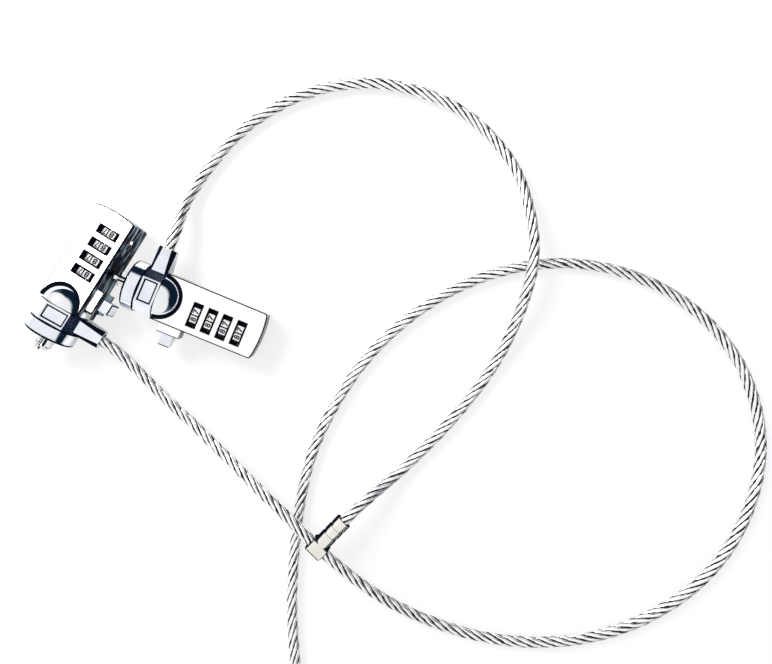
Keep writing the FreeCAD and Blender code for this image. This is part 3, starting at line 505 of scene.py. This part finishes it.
def swept(tree, line, radius, sides):
    """A round section swept along a line, with its angle stored as a share of a turn."""
    circle = tree.node("GeometryNodeCurvePrimitiveCircle", None,
                       {"Resolution": sides, "Radius": radius}).outputs[0]
    turn = tree.node("GeometryNodeSplineParameter").outputs["Factor"]
    circle = stored(tree, circle, "around", turn)
    return tree.node("GeometryNodeCurveToMesh", None, {
        "Curve": line, "Profile Curve": circle, "Fill Caps": True}).outputs[0]


print("trees:", Tree.__name__)

# %% [markdown]
# ## Laying the strands
#
# Six strands that wind round a line are one strand six times over, so Geometry Nodes suit them.
# The tree takes the bare line of the cable, copies it for each strand, and moves every point out
# sideways by an angle that grows along the line. A small round section follows each copy. The
# jacket is one wider tube on the same line. Two attributes tell the finish where it is on a
# strand, and the distance from the middle line comes from Geometry Proximity.

# %% Build the cable tree
STRAND_SIDES = 10
JACKET_SIDES = 14


def cable_tree():
    tree = Tree("laid_strands_in_a_jacket")
    strands = tree.input("Strands", "NodeSocketInt")
    lay_radius = tree.input("Lay radius", "NodeSocketFloat")
    strand_radius = tree.input("Strand radius", "NodeSocketFloat")
    lay_length = tree.input("Lay length", "NodeSocketFloat")
    step = tree.input("Step", "NodeSocketFloat")
    jacket_radius = tree.input("Jacket radius", "NodeSocketFloat")
    rope = tree.input("Strand finish", "NodeSocketMaterial")
    jacket = tree.input("Jacket finish", "NodeSocketMaterial")

    line = tree.node("GeometryNodeMeshToCurve", None,
                     {"Mesh": tree.enter.outputs[0]}).outputs[0]
    even = tree.node("GeometryNodeResampleCurve", {"mode": "LENGTH"},
                     {"Curve": line, "Length": step}).outputs[0]

    copies = tree.node("GeometryNodeDuplicateElements", {"domain": "SPLINE"},
                       {"Geometry": even, "Amount": strands})
    length = tree.node("GeometryNodeSplineParameter").outputs["Length"]
    share = tree.maths("DIVIDE", copies.outputs["Duplicate Index"], strands)
    turns = tree.maths("ADD", tree.maths("DIVIDE", length, lay_length), share)
    angle = tree.maths("MULTIPLY", turns, 2 * math.pi)

    normal = tree.node("GeometryNodeInputNormal").outputs["Normal"]
    tangent = tree.node("GeometryNodeInputTangent").outputs[0]
    side = tree.node("ShaderNodeVectorMath", {"operation": "CROSS_PRODUCT"},
                     {0: tangent, 1: normal}).outputs[0]
    out = tree.node("ShaderNodeVectorMath", {"operation": "ADD"}, {
        0: tree.scaled(normal, tree.maths("COSINE", angle)),
        1: tree.scaled(side, tree.maths("SINE", angle))}).outputs[0]
    wound = tree.node("GeometryNodeSetPosition", None, {
        "Geometry": copies.outputs["Geometry"],
        "Offset": tree.scaled(out, lay_radius)}).outputs[0]
    wound = stored(tree, wound, "along", length)

    laid = swept(tree, wound, strand_radius, STRAND_SIDES)
    near = tree.node("GeometryNodeProximity", {"target_element": "EDGES"},
                     {0: tree.enter.outputs[0]}).outputs["Distance"]
    laid = stored(tree, laid, "from_axis", near)
    laid = tree.node("GeometryNodeSetMaterial", None,
                     {"Geometry": laid, "Material": rope}).outputs[0]
    skin = swept(tree, even, jacket_radius, JACKET_SIDES)
    skin = tree.node("GeometryNodeSetMaterial", None,
                     {"Geometry": skin, "Material": jacket}).outputs[0]

    both = tree.node("GeometryNodeJoinGeometry")
    for part in (laid, skin):
        tree.tree.links.new(part, both.inputs[0])
    smooth = tree.node("GeometryNodeSetShadeSmooth", None,
                       {"Geometry": both.outputs[0], "Shade Smooth": True}).outputs[0]
    real = tree.node("GeometryNodeRealizeInstances", None, {"Geometry": smooth}).outputs[0]
    return tree.finish(real)


laid_cable = cable_tree()
print("cable tree with", len(laid_cable.tree.nodes), "nodes")

# %% [markdown]
# ## From a line to a cable
#
# A mesh of bare edges carries the tree as a modifier. Its result is kept as a plain mesh, and the
# modifier is thrown away. Each cable then rides on its body and stands for the plain bars of the
# frame.

# %% Lay both cables
LINE_STEP = 1.6 * MM


def grown(name, base, tree, values):
    """The plain mesh that a tree makes from a base mesh."""
    seed = placed(name + "_seed", base)
    modifier = seed.modifiers.new("tree", "NODES")
    modifier.node_group = tree.tree
    for key, value in values.items():
        modifier[tree.identifiers[key]] = value
    mesh = evaluated_mesh(seed)
    seed.modifiers.clear()
    bpy.data.objects.remove(seed)
    mesh.name = name
    return placed(name, mesh)


def bare_line(name, points):
    """A mesh of points and the edges between them."""
    mesh = bpy.data.meshes.new(name)
    mesh.from_pydata(points, [(i, i + 1) for i in range(len(points) - 1)], [])
    return mesh


def lay_cable(name, points):
    return grown(name, bare_line(name + "_line", points), laid_cable, {
        "Strands": STRAND_COUNT, "Lay radius": LAY_RADIUS, "Strand radius": STRAND_RADIUS,
        "Lay length": LAY_LENGTH, "Step": LINE_STEP, "Jacket radius": CABLE_RADIUS,
        "Strand finish": wire_rope, "Jacket finish": clear_jacket})


main_cable = lay_cable("main_cable_laid", main_line)
branch_cable = lay_cable("branch_cable_laid", branch_line)
for curve in (main_curve, branch_curve):
    bpy.data.objects.remove(curve)

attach(main_cable, "cable")
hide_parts("main_cable", "cable_coil", "cable_tail", "eye_loop")

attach(branch_cable, "branch")
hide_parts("branch_cable")
for cable in (main_cable, branch_cable):
    print(cable.name, len(cable.data.polygons), "faces")

# %% [markdown]
# ## The studio
#
# The lock lies on a white table under soft light, and the table runs out of the picture on every
# side. To keep the table white without more light on the lock, the camera sees part of its
# brightness as glow. Polished metal shows what surrounds it, so reflections see a sky of their
# own: plain white with a dark blue band low on one side, as a room has, and a dimmer table.

# %% Light the table
TABLE_SIZE = 3.0
SKY_LEVEL = 0.75
MIRRORED_LEVEL = 1.0
TABLE_GLOW = 0.75
MIRRORED_GLOW = 0.2
BAND_HEADING = (0.90, 0.43, 0.0)
BAND_TOP = (0.05, 0.78)
BAND_FADE = 0.16
SHADE_BEHIND = (0.10, 0.17, 0.26, 1.0)
SHADE_AHEAD = (0.004, 0.012, 0.03, 1.0)
LAMP_SPOT = Vector((-0.45, 0.5, 0.7))
LAMP_AIM = Vector((0.05, -0.02, 0.0))
LAMP_SIZE = 0.35
LAMP_POWER = 9.0


def studio_world():
    """An even sky, white to the camera, and with a dark band for reflections alone."""
    world = bpy.data.worlds.new("studio")
    world.use_nodes = True
    sky = Wiring(world.node_tree)
    background = world.node_tree.nodes["Background"]
    direction = sky.node("ShaderNodeTexCoord", out="Generated")
    height = sky.node("ShaderNodeSeparateXYZ", None, {0: direction}, out="Z")
    heading = sky.node("ShaderNodeVectorMath", {"operation": "DOT_PRODUCT"},
                       {0: direction, 1: BAND_HEADING}, out="Value")
    top = sky.within(heading, -0.5, 0.5, *BAND_TOP)
    low = sky.within(height - top, 0.0, -BAND_FADE)
    seen = sky.node("ShaderNodeLightPath", out="Is Glossy Ray")
    shade = sky.blend(sky.within(heading, -0.4, 0.3), SHADE_BEHIND, SHADE_AHEAD)
    mirrored = sky.blend(low, grey(MIRRORED_LEVEL, 0.01), shade)
    colour = sky.blend(seen, grey(SKY_LEVEL, 0.01), mirrored)
    view = sky.node("ShaderNodeLightPath", out="Is Camera Ray")
    colour = sky.blend(view, colour, grey(1.0))
    sky.feed(background.inputs["Color"], colour)
    bpy.context.scene.world = world


def table_finish():
    """A dull white that glows a little to the camera, and less in reflections."""
    finish = Finish("white_table", Base_Color=grey(0.9), Roughness=0.9)
    light = finish.node("ShaderNodeLightPath", out="Is Camera Ray")
    mirrored = finish.node("ShaderNodeLightPath", out="Is Glossy Ray")
    through = finish.node("ShaderNodeLightPath", out="Is Transmission Ray")
    glow = finish.node("ShaderNodeEmission", None, {"Color": grey(1.0), "Strength": 1.0})
    seen = finish.math("MAXIMUM", light * TABLE_GLOW, mirrored * MIRRORED_GLOW)
    seen = finish.math("MAXIMUM", seen, through * TABLE_GLOW)
    mixed = finish.node("ShaderNodeMixShader", None, {
        0: seen, 1: Value(finish, finish.surface.outputs[0]), 2: glow})
    output = finish.tree.nodes["Material Output"]
    finish.feed(output.inputs["Surface"], mixed)
    return finish.material


def flat_table():
    mesh = bpy.data.meshes.new("table")
    half = TABLE_SIZE / 2
    mesh.from_pydata([(-half, -half, 0), (half, -half, 0), (half, half, 0), (-half, half, 0)],
                     [], [(0, 1, 2, 3)])
    mesh.materials.append(table_finish())
    table = placed("table", mesh)
    table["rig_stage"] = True


def window_lamp():
    """One soft lamp, high above the picture's top left corner."""
    data = bpy.data.lights.new("window", "AREA")
    data.size = LAMP_SIZE
    data.energy = LAMP_POWER
    lamp = placed("window", data)
    lamp.location = LAMP_SPOT
    lamp.rotation_euler = (LAMP_AIM - LAMP_SPOT).to_track_quat("-Z", "Y").to_euler()


bpy.context.scene.view_settings.view_transform = "Standard"
studio_world()
flat_table()
window_lamp()
print("sky level", SKY_LEVEL)

# %% [markdown]
# ## Painted dark lines on bright metal
#
# Windows, panels and rims have fine bevels that look black in a bright room, from shade and dark
# reflections. That darkness is painted here. Some bevels are too narrow to be faces of their own,
# so formulas draw the painted lines from a point's own place on its piece. That place is stored on
# the mesh further down, in millimetres along, across and up.

# %% Draw the painted dark lines
FIRST_DIAL = 16.0
DIAL_PITCH = 6.27
DIAL_SIDE = 1.9
WINDOW_HALF = (1.75, 4.85)
WINDOW_LINE = 0.4
ROW_ENDS = (-FIRST_DIAL - 3.45 * DIAL_PITCH, -FIRST_DIAL + 2.5)
FACE_HEIGHT = 6.0

RING_MIDDLE = 4.1
RING_REACH = 9.2
PANEL_HALF_LENGTH = 2.8
PANEL_HALF_WIDTH = 4.6
PANEL_LINE = 0.6
PANEL_EDGE = 0.05

DIAL_HALF_WIDTH = 1.55
DIAL_MARGIN = 0.25


def window_lines(finish):
    """Painted shade and dark reflection on the bevel round each of the four windows, on the face
    only.
    """
    along, across, up = finish.own_place()
    near = finish.math("PINGPONG", along + FIRST_DIAL, DIAL_PITCH / 2)
    outside = finish.math("MAXIMUM", near - WINDOW_HALF[0],
                          (across - DIAL_SIDE).size() - WINDOW_HALF[1])
    in_row = along.over(ROW_ENDS[0]) * (1 - along.over(ROW_ENDS[1]))
    return (1 - outside.over(WINDOW_LINE)) * in_row * up.over(FACE_HEIGHT)


def panel_lines(finish):
    """A painted dark line, for shade and dark reflection, inside the sunk panel on each flat of a
    swivel ring.
    """
    along, across, up = finish.own_place()
    sideways = finish.math("MINIMUM", across.size(), up.size())
    outwards = finish.math("MAXIMUM", across.size(), up.size())
    inside = finish.math("MAXIMUM", (along - RING_MIDDLE).size() - PANEL_HALF_LENGTH,
                         sideways - PANEL_HALF_WIDTH)
    line = inside.over(-PANEL_LINE) * (1 - inside.over(PANEL_EDGE))
    return line * (1 - outwards.over(RING_REACH))


def dial_margins(finish):
    """A painted dark margin, for shade, along both rims of a dial."""
    along = finish.own_place()[0]
    return along.size().over(DIAL_HALF_WIDTH - DIAL_MARGIN)


print("window lines between", [round(end, 1) for end in ROW_ENDS], "mm")

# %% [markdown]
# ## The finishes of the heads
#
# The cases are cast and plated satin silver, and the ball, the rings and the dials are brighter.
# Real plating is never even: it has fine grain, faint smudges and a slightly changing gloss. Each
# finish below is one of these metals with its own noise. The grain sits in the normal, and the
# smudges in the roughness. Bevels, grooves and lines are painted black and not metal, as painted
# shade and dark reflection, like the cable's painted valleys. The case's button side and far end
# are painted darker as shade, with streaks of painted reflection.

# %% Make the metals and plastics
# Painted shade and dark reflection: the near-black colour of bevels, grooves, window walls and
# lines.
PAINTED_EDGE_SHADE = (0.004, 0.006, 0.012, 1.0)
# Painted reflection: the pale blue streaks on the shaded sides of the case.
PAINTED_SIDE_REFLECTION = (0.3, 0.4, 0.47, 1.0)
PLATE_TONES = (grey(0.90, 0.02), grey(0.96, 0.01))
PLATE_METAL = 0.85
PLATE_ROUGHNESS = 0.22
BAND_GLOSS = 0.75
STREAK_SCALE = (0.1, 1.0, 0.8)
DULL_SHARE = 0.86
LIGHTER_SHARE = 1.7
LIGHTER_STEP = 0.004
GRAIN_DEPTH = 0.01 * MM


def satin_cover_finish():
    """Satin plate with painted black shade on its edges and lines, and polished sides painted dark
    with streaks of painted reflection.
    """
    finish = Finish("satin_silver_plate", Specular_IOR_Level=0.0)
    grain = finish.noise(5200.0, 2.0)
    cloud = finish.noise(60.0, 2.0)
    face = finish.blend(finish.within(cloud, 0.35, 0.65), *PLATE_TONES)
    band = finish.attribute("band")
    # Painted shade with streaks of painted reflection on the case's button side and far end.
    drawn_out = finish.node("ShaderNodeMapping", None, {
        "Vector": finish.attribute("own_place", "Vector"), "Scale": STREAK_SCALE})
    pulled = finish.node("ShaderNodeTexNoise", None, {"Vector": drawn_out, "Scale": 1.0})
    painted_side_shade = finish.blend(finish.within(pulled, 0.5, 0.6), PAINTED_EDGE_SHADE, PAINTED_SIDE_REFLECTION)
    edged = finish.blend(band, face, painted_side_shade)
    # Painted black shade and dark reflection on bevels, window walls and round the windows.
    dark = finish.math("MAXIMUM", finish.attribute("edge"), window_lines(finish))
    gloss = grain * 0.08 + cloud * 0.08 + PLATE_ROUGHNESS
    finish.drive("Base Color", finish.blend(dark, edged, PAINTED_EDGE_SHADE))
    finish.drive("Metallic", (1 - dark) * PLATE_METAL)
    finish.drive("Roughness", gloss * (1 - band * BAND_GLOSS))
    finish.bump(grain, 0.2, GRAIN_DEPTH)
    return finish.material


def polished_finish(name, colour, rough, smudge, lines=None):
    """Bright metal with a fine grain and soft smudges in its gloss."""
    finish = Finish(name, Specular_IOR_Level=0.0)
    cloud = finish.noise(140.0, 4.0)
    grain = finish.noise(2500.0, 2.0)
    dull = tuple(channel * DULL_SHARE for channel in colour[:3]) + (1.0,)
    tone = finish.blend(finish.within(cloud, 0.3, 0.7), dull, colour)
    # Painted black shade and dark reflection on bevels, grooves and any given lines.
    dark = finish.attribute("edge")
    if lines:
        dark = finish.math("MAXIMUM", dark, lines(finish))
    finish.drive("Base Color", finish.blend(dark, tone, PAINTED_EDGE_SHADE))
    finish.drive("Metallic", 1 - dark)
    finish.drive("Roughness", finish.within(cloud, 0.3, 0.7, rough, rough + smudge))
    finish.bump(grain, 0.08, GRAIN_DEPTH)
    return finish.material


def moulded_finish(name, colour, rough):
    """Black plastic or paint with a fine, dull texture."""
    finish = Finish(name, IOR=1.5)
    grain = finish.noise(3800.0, 2.0)
    cloud = finish.noise(300.0, 2.0)
    lighter = tuple(channel * LIGHTER_SHARE + LIGHTER_STEP for channel in colour[:3]) + (1.0,)
    finish.drive("Base Color", finish.blend(finish.within(cloud, 0.4, 0.7), colour, lighter))
    finish.drive("Roughness", grain * 0.15 + rough)
    finish.bump(grain, 0.2, GRAIN_DEPTH)
    return finish.material


FINISHES = {
    "satin_cover": satin_cover_finish(),
    "chrome": polished_finish("polished_ball", grey(0.93, 0.03), 0.03, 0.05),
    "satin_chrome": polished_finish("bright_ring", (0.88, 0.92, 0.98, 1.0), 0.07, 0.08,
                                    lines=panel_lines),
    "steel": polished_finish("turned_steel", grey(0.86, 0.01), 0.07, 0.1),
    "brass": polished_finish("machined_brass", (0.83, 0.66, 0.34, 1.0), 0.2, 0.15),
    "ferrule": polished_finish("nickel_over_brass", (0.90, 0.87, 0.79, 1.0), 0.06, 0.1),
    "dial": polished_finish("plated_dial", grey(0.96, 0.01), 0.14, 0.1, lines=dial_margins),
    "dark_plastic": moulded_finish("black_slide_plastic", (0.015, 0.015, 0.018, 1.0), 0.35),
    "figure": moulded_finish("black_figure_paint", (0.004, 0.004, 0.005, 1.0), 0.5),
}
print(len(FINISHES), "finishes for the heads")

# %% [markdown]
# ## A smooth copy of each piece
#
# The frame's pieces have the right shape, but their triangles are loose, so a round face shows
# its facets. A copy of each piece is welded and shaded smooth, except along its real edges.

# %% Weld and smooth a copy
WELD_DISTANCE = 0.0005 * MM
EDGE_ANGLE = math.radians(28)


def welded(node, name):
    """A copy of a node's mesh with its loose triangles joined."""
    work = bmesh.new()
    work.from_mesh(frame["nodes"][node].data)
    bmesh.ops.remove_doubles(work, verts=work.verts, dist=WELD_DISTANCE)
    mesh = bpy.data.meshes.new(name)
    work.to_mesh(mesh)
    work.free()
    if "custom_normal" in mesh.attributes:
        mesh.attributes.remove(mesh.attributes["custom_normal"])
    mesh.shade_smooth()
    mesh.set_sharp_from_angle(angle=EDGE_ANGLE)
    return mesh


print(f"edges sharper than {math.degrees(EDGE_ANGLE):.0f} degrees stay")

# %% [markdown]
# ## Each piece's own directions
#
# The heads lie askew on the table, so a piece's bevels are easier to find in its own directions.
# Those come from the joints: a head's long axis is the one that it swivels about, and its button
# moves across it. A ring has its cable sleeve on one side, which shows in its farthest points.

# %% Find the directions of a piece
SLEEVE_END_SHARE = 0.9


def is_dial(node):
    return "_dial_" in node and node[-1].isdigit()


def head_directions(head):
    """Along the head towards its nose, across it, and up out of its face."""
    along = Vector(joints[f"head_{head}_swivel"]["axis"]).normalized()
    across = -Vector(joints[f"head_{head}_button_push"]["axis"]).normalized()
    return along, across, along.cross(across)


def own_frame(node, mesh):
    """The centre and the three directions that belong to a piece."""
    if not node.startswith("head_"):
        return Vector(), Vector((1, 0, 0)), Vector((0, 1, 0)), Vector((0, 0, 1))
    head = node[len("head_")]
    along, across, up = head_directions(head)
    centre = Vector(joints[f"head_{head}_swivel"]["pos_m"])
    if is_dial(node):
        centre = Vector(joints[node + "_turn"]["pos_m"])
    if node.endswith("swivel_ring"):
        arms = [vertex.co - centre for vertex in mesh.vertices]
        arms = [arm - along * arm.dot(along) for arm in arms]
        reach = max(arm.length for arm in arms)
        far = sum((arm for arm in arms if arm.length > SLEEVE_END_SHARE * reach), Vector())
        across = far.normalized()
        up = along.cross(across)
    return centre, along, across, up


print("head a points along", [round(part, 2) for part in head_directions("a")[0]])

# %% [markdown]
# ## Edges and bands
#
# Every face of a copy is told apart by which way it looks and where it lies. Bevels, roundings,
# grooves, window walls and the clamp's flanks are edges, and the finish paints them black as shade
# and dark reflection. The case's side next to the button and its far end are bands, which are
# polished and painted darker as shade, with streaks of painted reflection.

# %% Tell edges and bands from plain faces
LEAST_SLANT = 0.2
FACE_SLANT = (LEAST_SLANT, 0.97)
SIDE_SLANT = (LEAST_SLANT, 0.9)
BAND_FACING = 0.6
COLLAR_FLANK = 0.72
DIAL_CORNER = math.radians(36)
GROOVE_HALF = math.radians(4)
SLEEVE_START = 9.5 * MM
WINDOW_EDGE = 5.0 * MM
WINDOW_ROW = (-38 * MM, -13 * MM)
CASE_INSIDE = 4.6 * MM


def slanted(share, limits):
    """Whether one part of a normal lies between two limits, either way round."""
    return limits[0] < abs(share) < limits[1]


def cover_edge(centre, normal):
    """A slanted face, or the upright wall of a window."""
    in_window = (centre.z > CASE_INSIDE and abs(normal.z) < LEAST_SLANT
                 and abs(centre.y - DIAL_SIDE * MM) < WINDOW_EDGE
                 and WINDOW_ROW[0] < centre.x < WINDOW_ROW[1])
    return slanted(normal.z, FACE_SLANT) or in_window


def ring_edge(centre, normal):
    """A slanted face of the ring, or a bevel along its cable sleeve."""
    if centre.y > SLEEVE_START:
        return abs(normal.x) > LEAST_SLANT and abs(normal.z) > LEAST_SLANT
    return slanted(normal.x, SIDE_SLANT)


def dial_edge(centre, normal):
    """A groove between two facets of a dial, or its rim."""
    turn = math.atan2(centre.y, centre.z)
    off = (turn + DIAL_CORNER / 2) % DIAL_CORNER - DIAL_CORNER / 2
    return abs(off) < GROOVE_HALF or abs(normal.x) > LEAST_SLANT


def is_edge(node, centre, normal):
    """Whether a face gets painted black shade: a bevel, a rounding, a groove, a window wall or a
    flank of the clamp.
    """
    if node.endswith("cover"):
        return cover_edge(centre, normal)
    if node.endswith("swivel_ring"):
        return ring_edge(centre, normal)
    if node.endswith("nose_disc"):
        return slanted(normal.x, SIDE_SLANT)
    if node.endswith(("push_button", "t_bar", "slot_tongues")):
        return slanted(normal.x, SIDE_SLANT) or slanted(normal.y, SIDE_SLANT)
    # The clamp's flanks are painted black, as dark reflection, all round but for top and bottom.
    if node == "t_clamp":
        return abs(normal.z) < COLLAR_FLANK
    return is_dial(node) and dial_edge(centre, normal)


def is_band(node, normal):
    """Whether a face is on the button's side of the case or on its far end, which are painted
    darker as shade.
    """
    return node.endswith("cover") and (normal.y > BAND_FACING or normal.x < -BAND_FACING)


def mark(node, mesh):
    """Store each point's own place, and on each face whether it gets painted edge shade or painted
    side shade.
    """
    centre, *directions = own_frame(node, mesh)
    turn = Matrix(directions)
    places = mesh.attributes.new("own_place", "FLOAT_VECTOR", "POINT")
    for vertex, item in zip(mesh.vertices, places.data):
        item.vector = turn @ (vertex.co - centre) / MM
    edges = mesh.attributes.new("edge", "FLOAT", "FACE")
    bands = mesh.attributes.new("band", "FLOAT", "FACE")
    for face in mesh.polygons:
        normal = turn @ face.normal
        middle = turn @ (face.center - centre)
        edges.data[face.index].value = float(is_edge(node, middle, normal))
        bands.data[face.index].value = float(is_band(node, normal))


print(f"a groove is {2 * math.degrees(GROOVE_HALF):.0f} degrees wide on a dial")

# %% [markdown]
# ## Dressing the pieces
#
# Each copy gets its marks and the finish of its slot. It rides on the same body as the piece that
# it was copied from, and stands for it.

# %% Dress every piece
slots = {part["node"]: part["material_slot"] for part in frame["record"]["subparts"]}


def add_piece(name, mesh, body, slot_name, finish=None):
    mesh.materials.clear()
    mesh.materials.append(FINISHES[finish or slot_name])
    piece = placed(name, mesh)
    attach(piece, body)
    return piece


def dress(node):
    name = node + "_finished"
    mesh = welded(node, name)
    mark(node, mesh)
    piece = add_piece(name, mesh, frame["nodes"][node]["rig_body"], slots[node])
    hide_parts(node)
    return piece


dressed = {node: dress(node) for node in sorted(frame["nodes"]) if slots[node] != "cable"}
print("dressed", len(dressed), "pieces")

# %% [markdown]
# ## The springs behind the buttons
#
# Each push button rests on a small coil spring. A spring can't follow a joint as a stiff piece
# does. Each one gets a mesh of its own, and the share of its length that it keeps when its button
# is pushed in is worked out.

# %% Work out how far each spring would be squashed
def squash_spring(head):
    push_joint = joints[f"head_{head}_button_push"]
    push = Vector(push_joint["axis"]).normalized()
    spring = dressed[f"head_{head}_button_spring"]
    reach = [vertex.co.dot(push) for vertex in spring.data.vertices]
    keep = 1 - push_joint["range_m"][1] / (max(reach) - min(reach))
    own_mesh(spring)
    return keep


for head in "ab":
    print(f"head {head}: a pushed spring keeps {squash_spring(head):.2f} of its length")

# %% [markdown]
# ## The two cords
#
# A cable can bend. The names of the two laid cables are printed here.

print("cords:", main_cable.name, "and", branch_cable.name)

# %% [markdown]
# ## The figures on the dials
#
# Every dial is a drum with ten flat facets, and each facet carries one black figure. The tops of
# the figures point to the head's nose. A figure is a thin text shape, made a mesh and laid on its
# facet: its height runs along the axle and its width across the facet.

# %% Shape the ten figures
DIGITS = 10
FIGURE_STEPS = 5
STROKE_WIDENING = 0.04
PAINT_SHARE = 0.008


def figure_shape(character):
    """The thin shape of one figure as a mesh, centred, with its height set to 1."""
    text = bpy.data.curves.new("figure", "FONT")
    text.body = character
    text.resolution_u = FIGURE_STEPS
    text.offset = STROKE_WIDENING
    text.extrude = PAINT_SHARE
    writer = placed("figure", text)
    mesh = evaluated_mesh(writer)
    bpy.data.objects.remove(writer)
    low = Vector((min(v.co[i] for v in mesh.vertices) for i in range(3)))
    high = Vector((max(v.co[i] for v in mesh.vertices) for i in range(3)))
    middle, height = (low + high) / 2, (high - low).y
    mesh.transform(Matrix.Scale(1 / height, 4) @ Matrix.Translation(-middle))
    return mesh


FIGURES = {digit: figure_shape(str(digit)) for digit in range(DIGITS)}
print(len(FIGURES), "figures")

# %% [markdown]
# ## Paint on the facets
#
# The head's directions come from the joints, and how far a facet lies from the axle is measured on
# the dial's own mesh. The figures of one dial are joined into one piece that turns with it.

# %% Lay the figures on the facets of each dial
DIGIT_HEIGHT = 2.4 * MM
DIGIT_WIDTH_SHARE = 1.15
FIRST_SHOWN = 7
SAME_WAY = 0.999


def facet_distance(node, centre, out):
    """How far a dial's facet lies from its axis, measured on its mesh."""
    faces = frame["nodes"][node].data.polygons
    facing = [face for face in faces if face.normal.dot(out) > SAME_WAY]
    return max((face.center - centre).dot(out) for face in facing)


def placed_figures(head, number):
    """All ten figures of one dial as one mesh on its facets."""
    along, across, up = head_directions(head)
    node = f"head_{head}_dial_{number}"
    centre = Vector(joints[node + "_turn"]["pos_m"])
    work = bmesh.new()
    for digit, shape in FIGURES.items():
        middle = 2 * math.pi / DIGITS * (FIRST_SHOWN - digit + 0.5)
        out = -across * math.sin(middle) + up * math.cos(middle)
        side = along.cross(out)
        facet = facet_distance(node, centre, out)
        start = len(work.verts)
        work.from_mesh(shape)
        work.verts.ensure_lookup_table()
        for vertex in work.verts[start:]:
            x, y, z = vertex.co * DIGIT_HEIGHT
            vertex.co = centre + along * y + side * (x * DIGIT_WIDTH_SHARE) + out * (facet + z)
    bmesh.ops.recalc_face_normals(work, faces=work.faces)
    mesh = bpy.data.meshes.new(node + "_figures")
    work.to_mesh(mesh)
    work.free()
    return add_piece(node + "_figures", mesh, node, "dial", "figure")


for head in "ab":
    for number in range(1, 5):
        figures = placed_figures(head, number)
    print(f"head {head}: figures of {len(figures.data.polygons)} faces on each dial")

# %% [markdown]
# ## The sizes of the frame and the dressed model
#
# The box of the frame's own pieces and the box of the dressed model are printed, in millimetres.

# %% Print the two boxes
shown_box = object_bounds()
for name, box in (("frame", cad_box), ("dressed", shown_box)):
    print(name, [round(value * 1000, 1) for corner in box for value in corner], "mm")
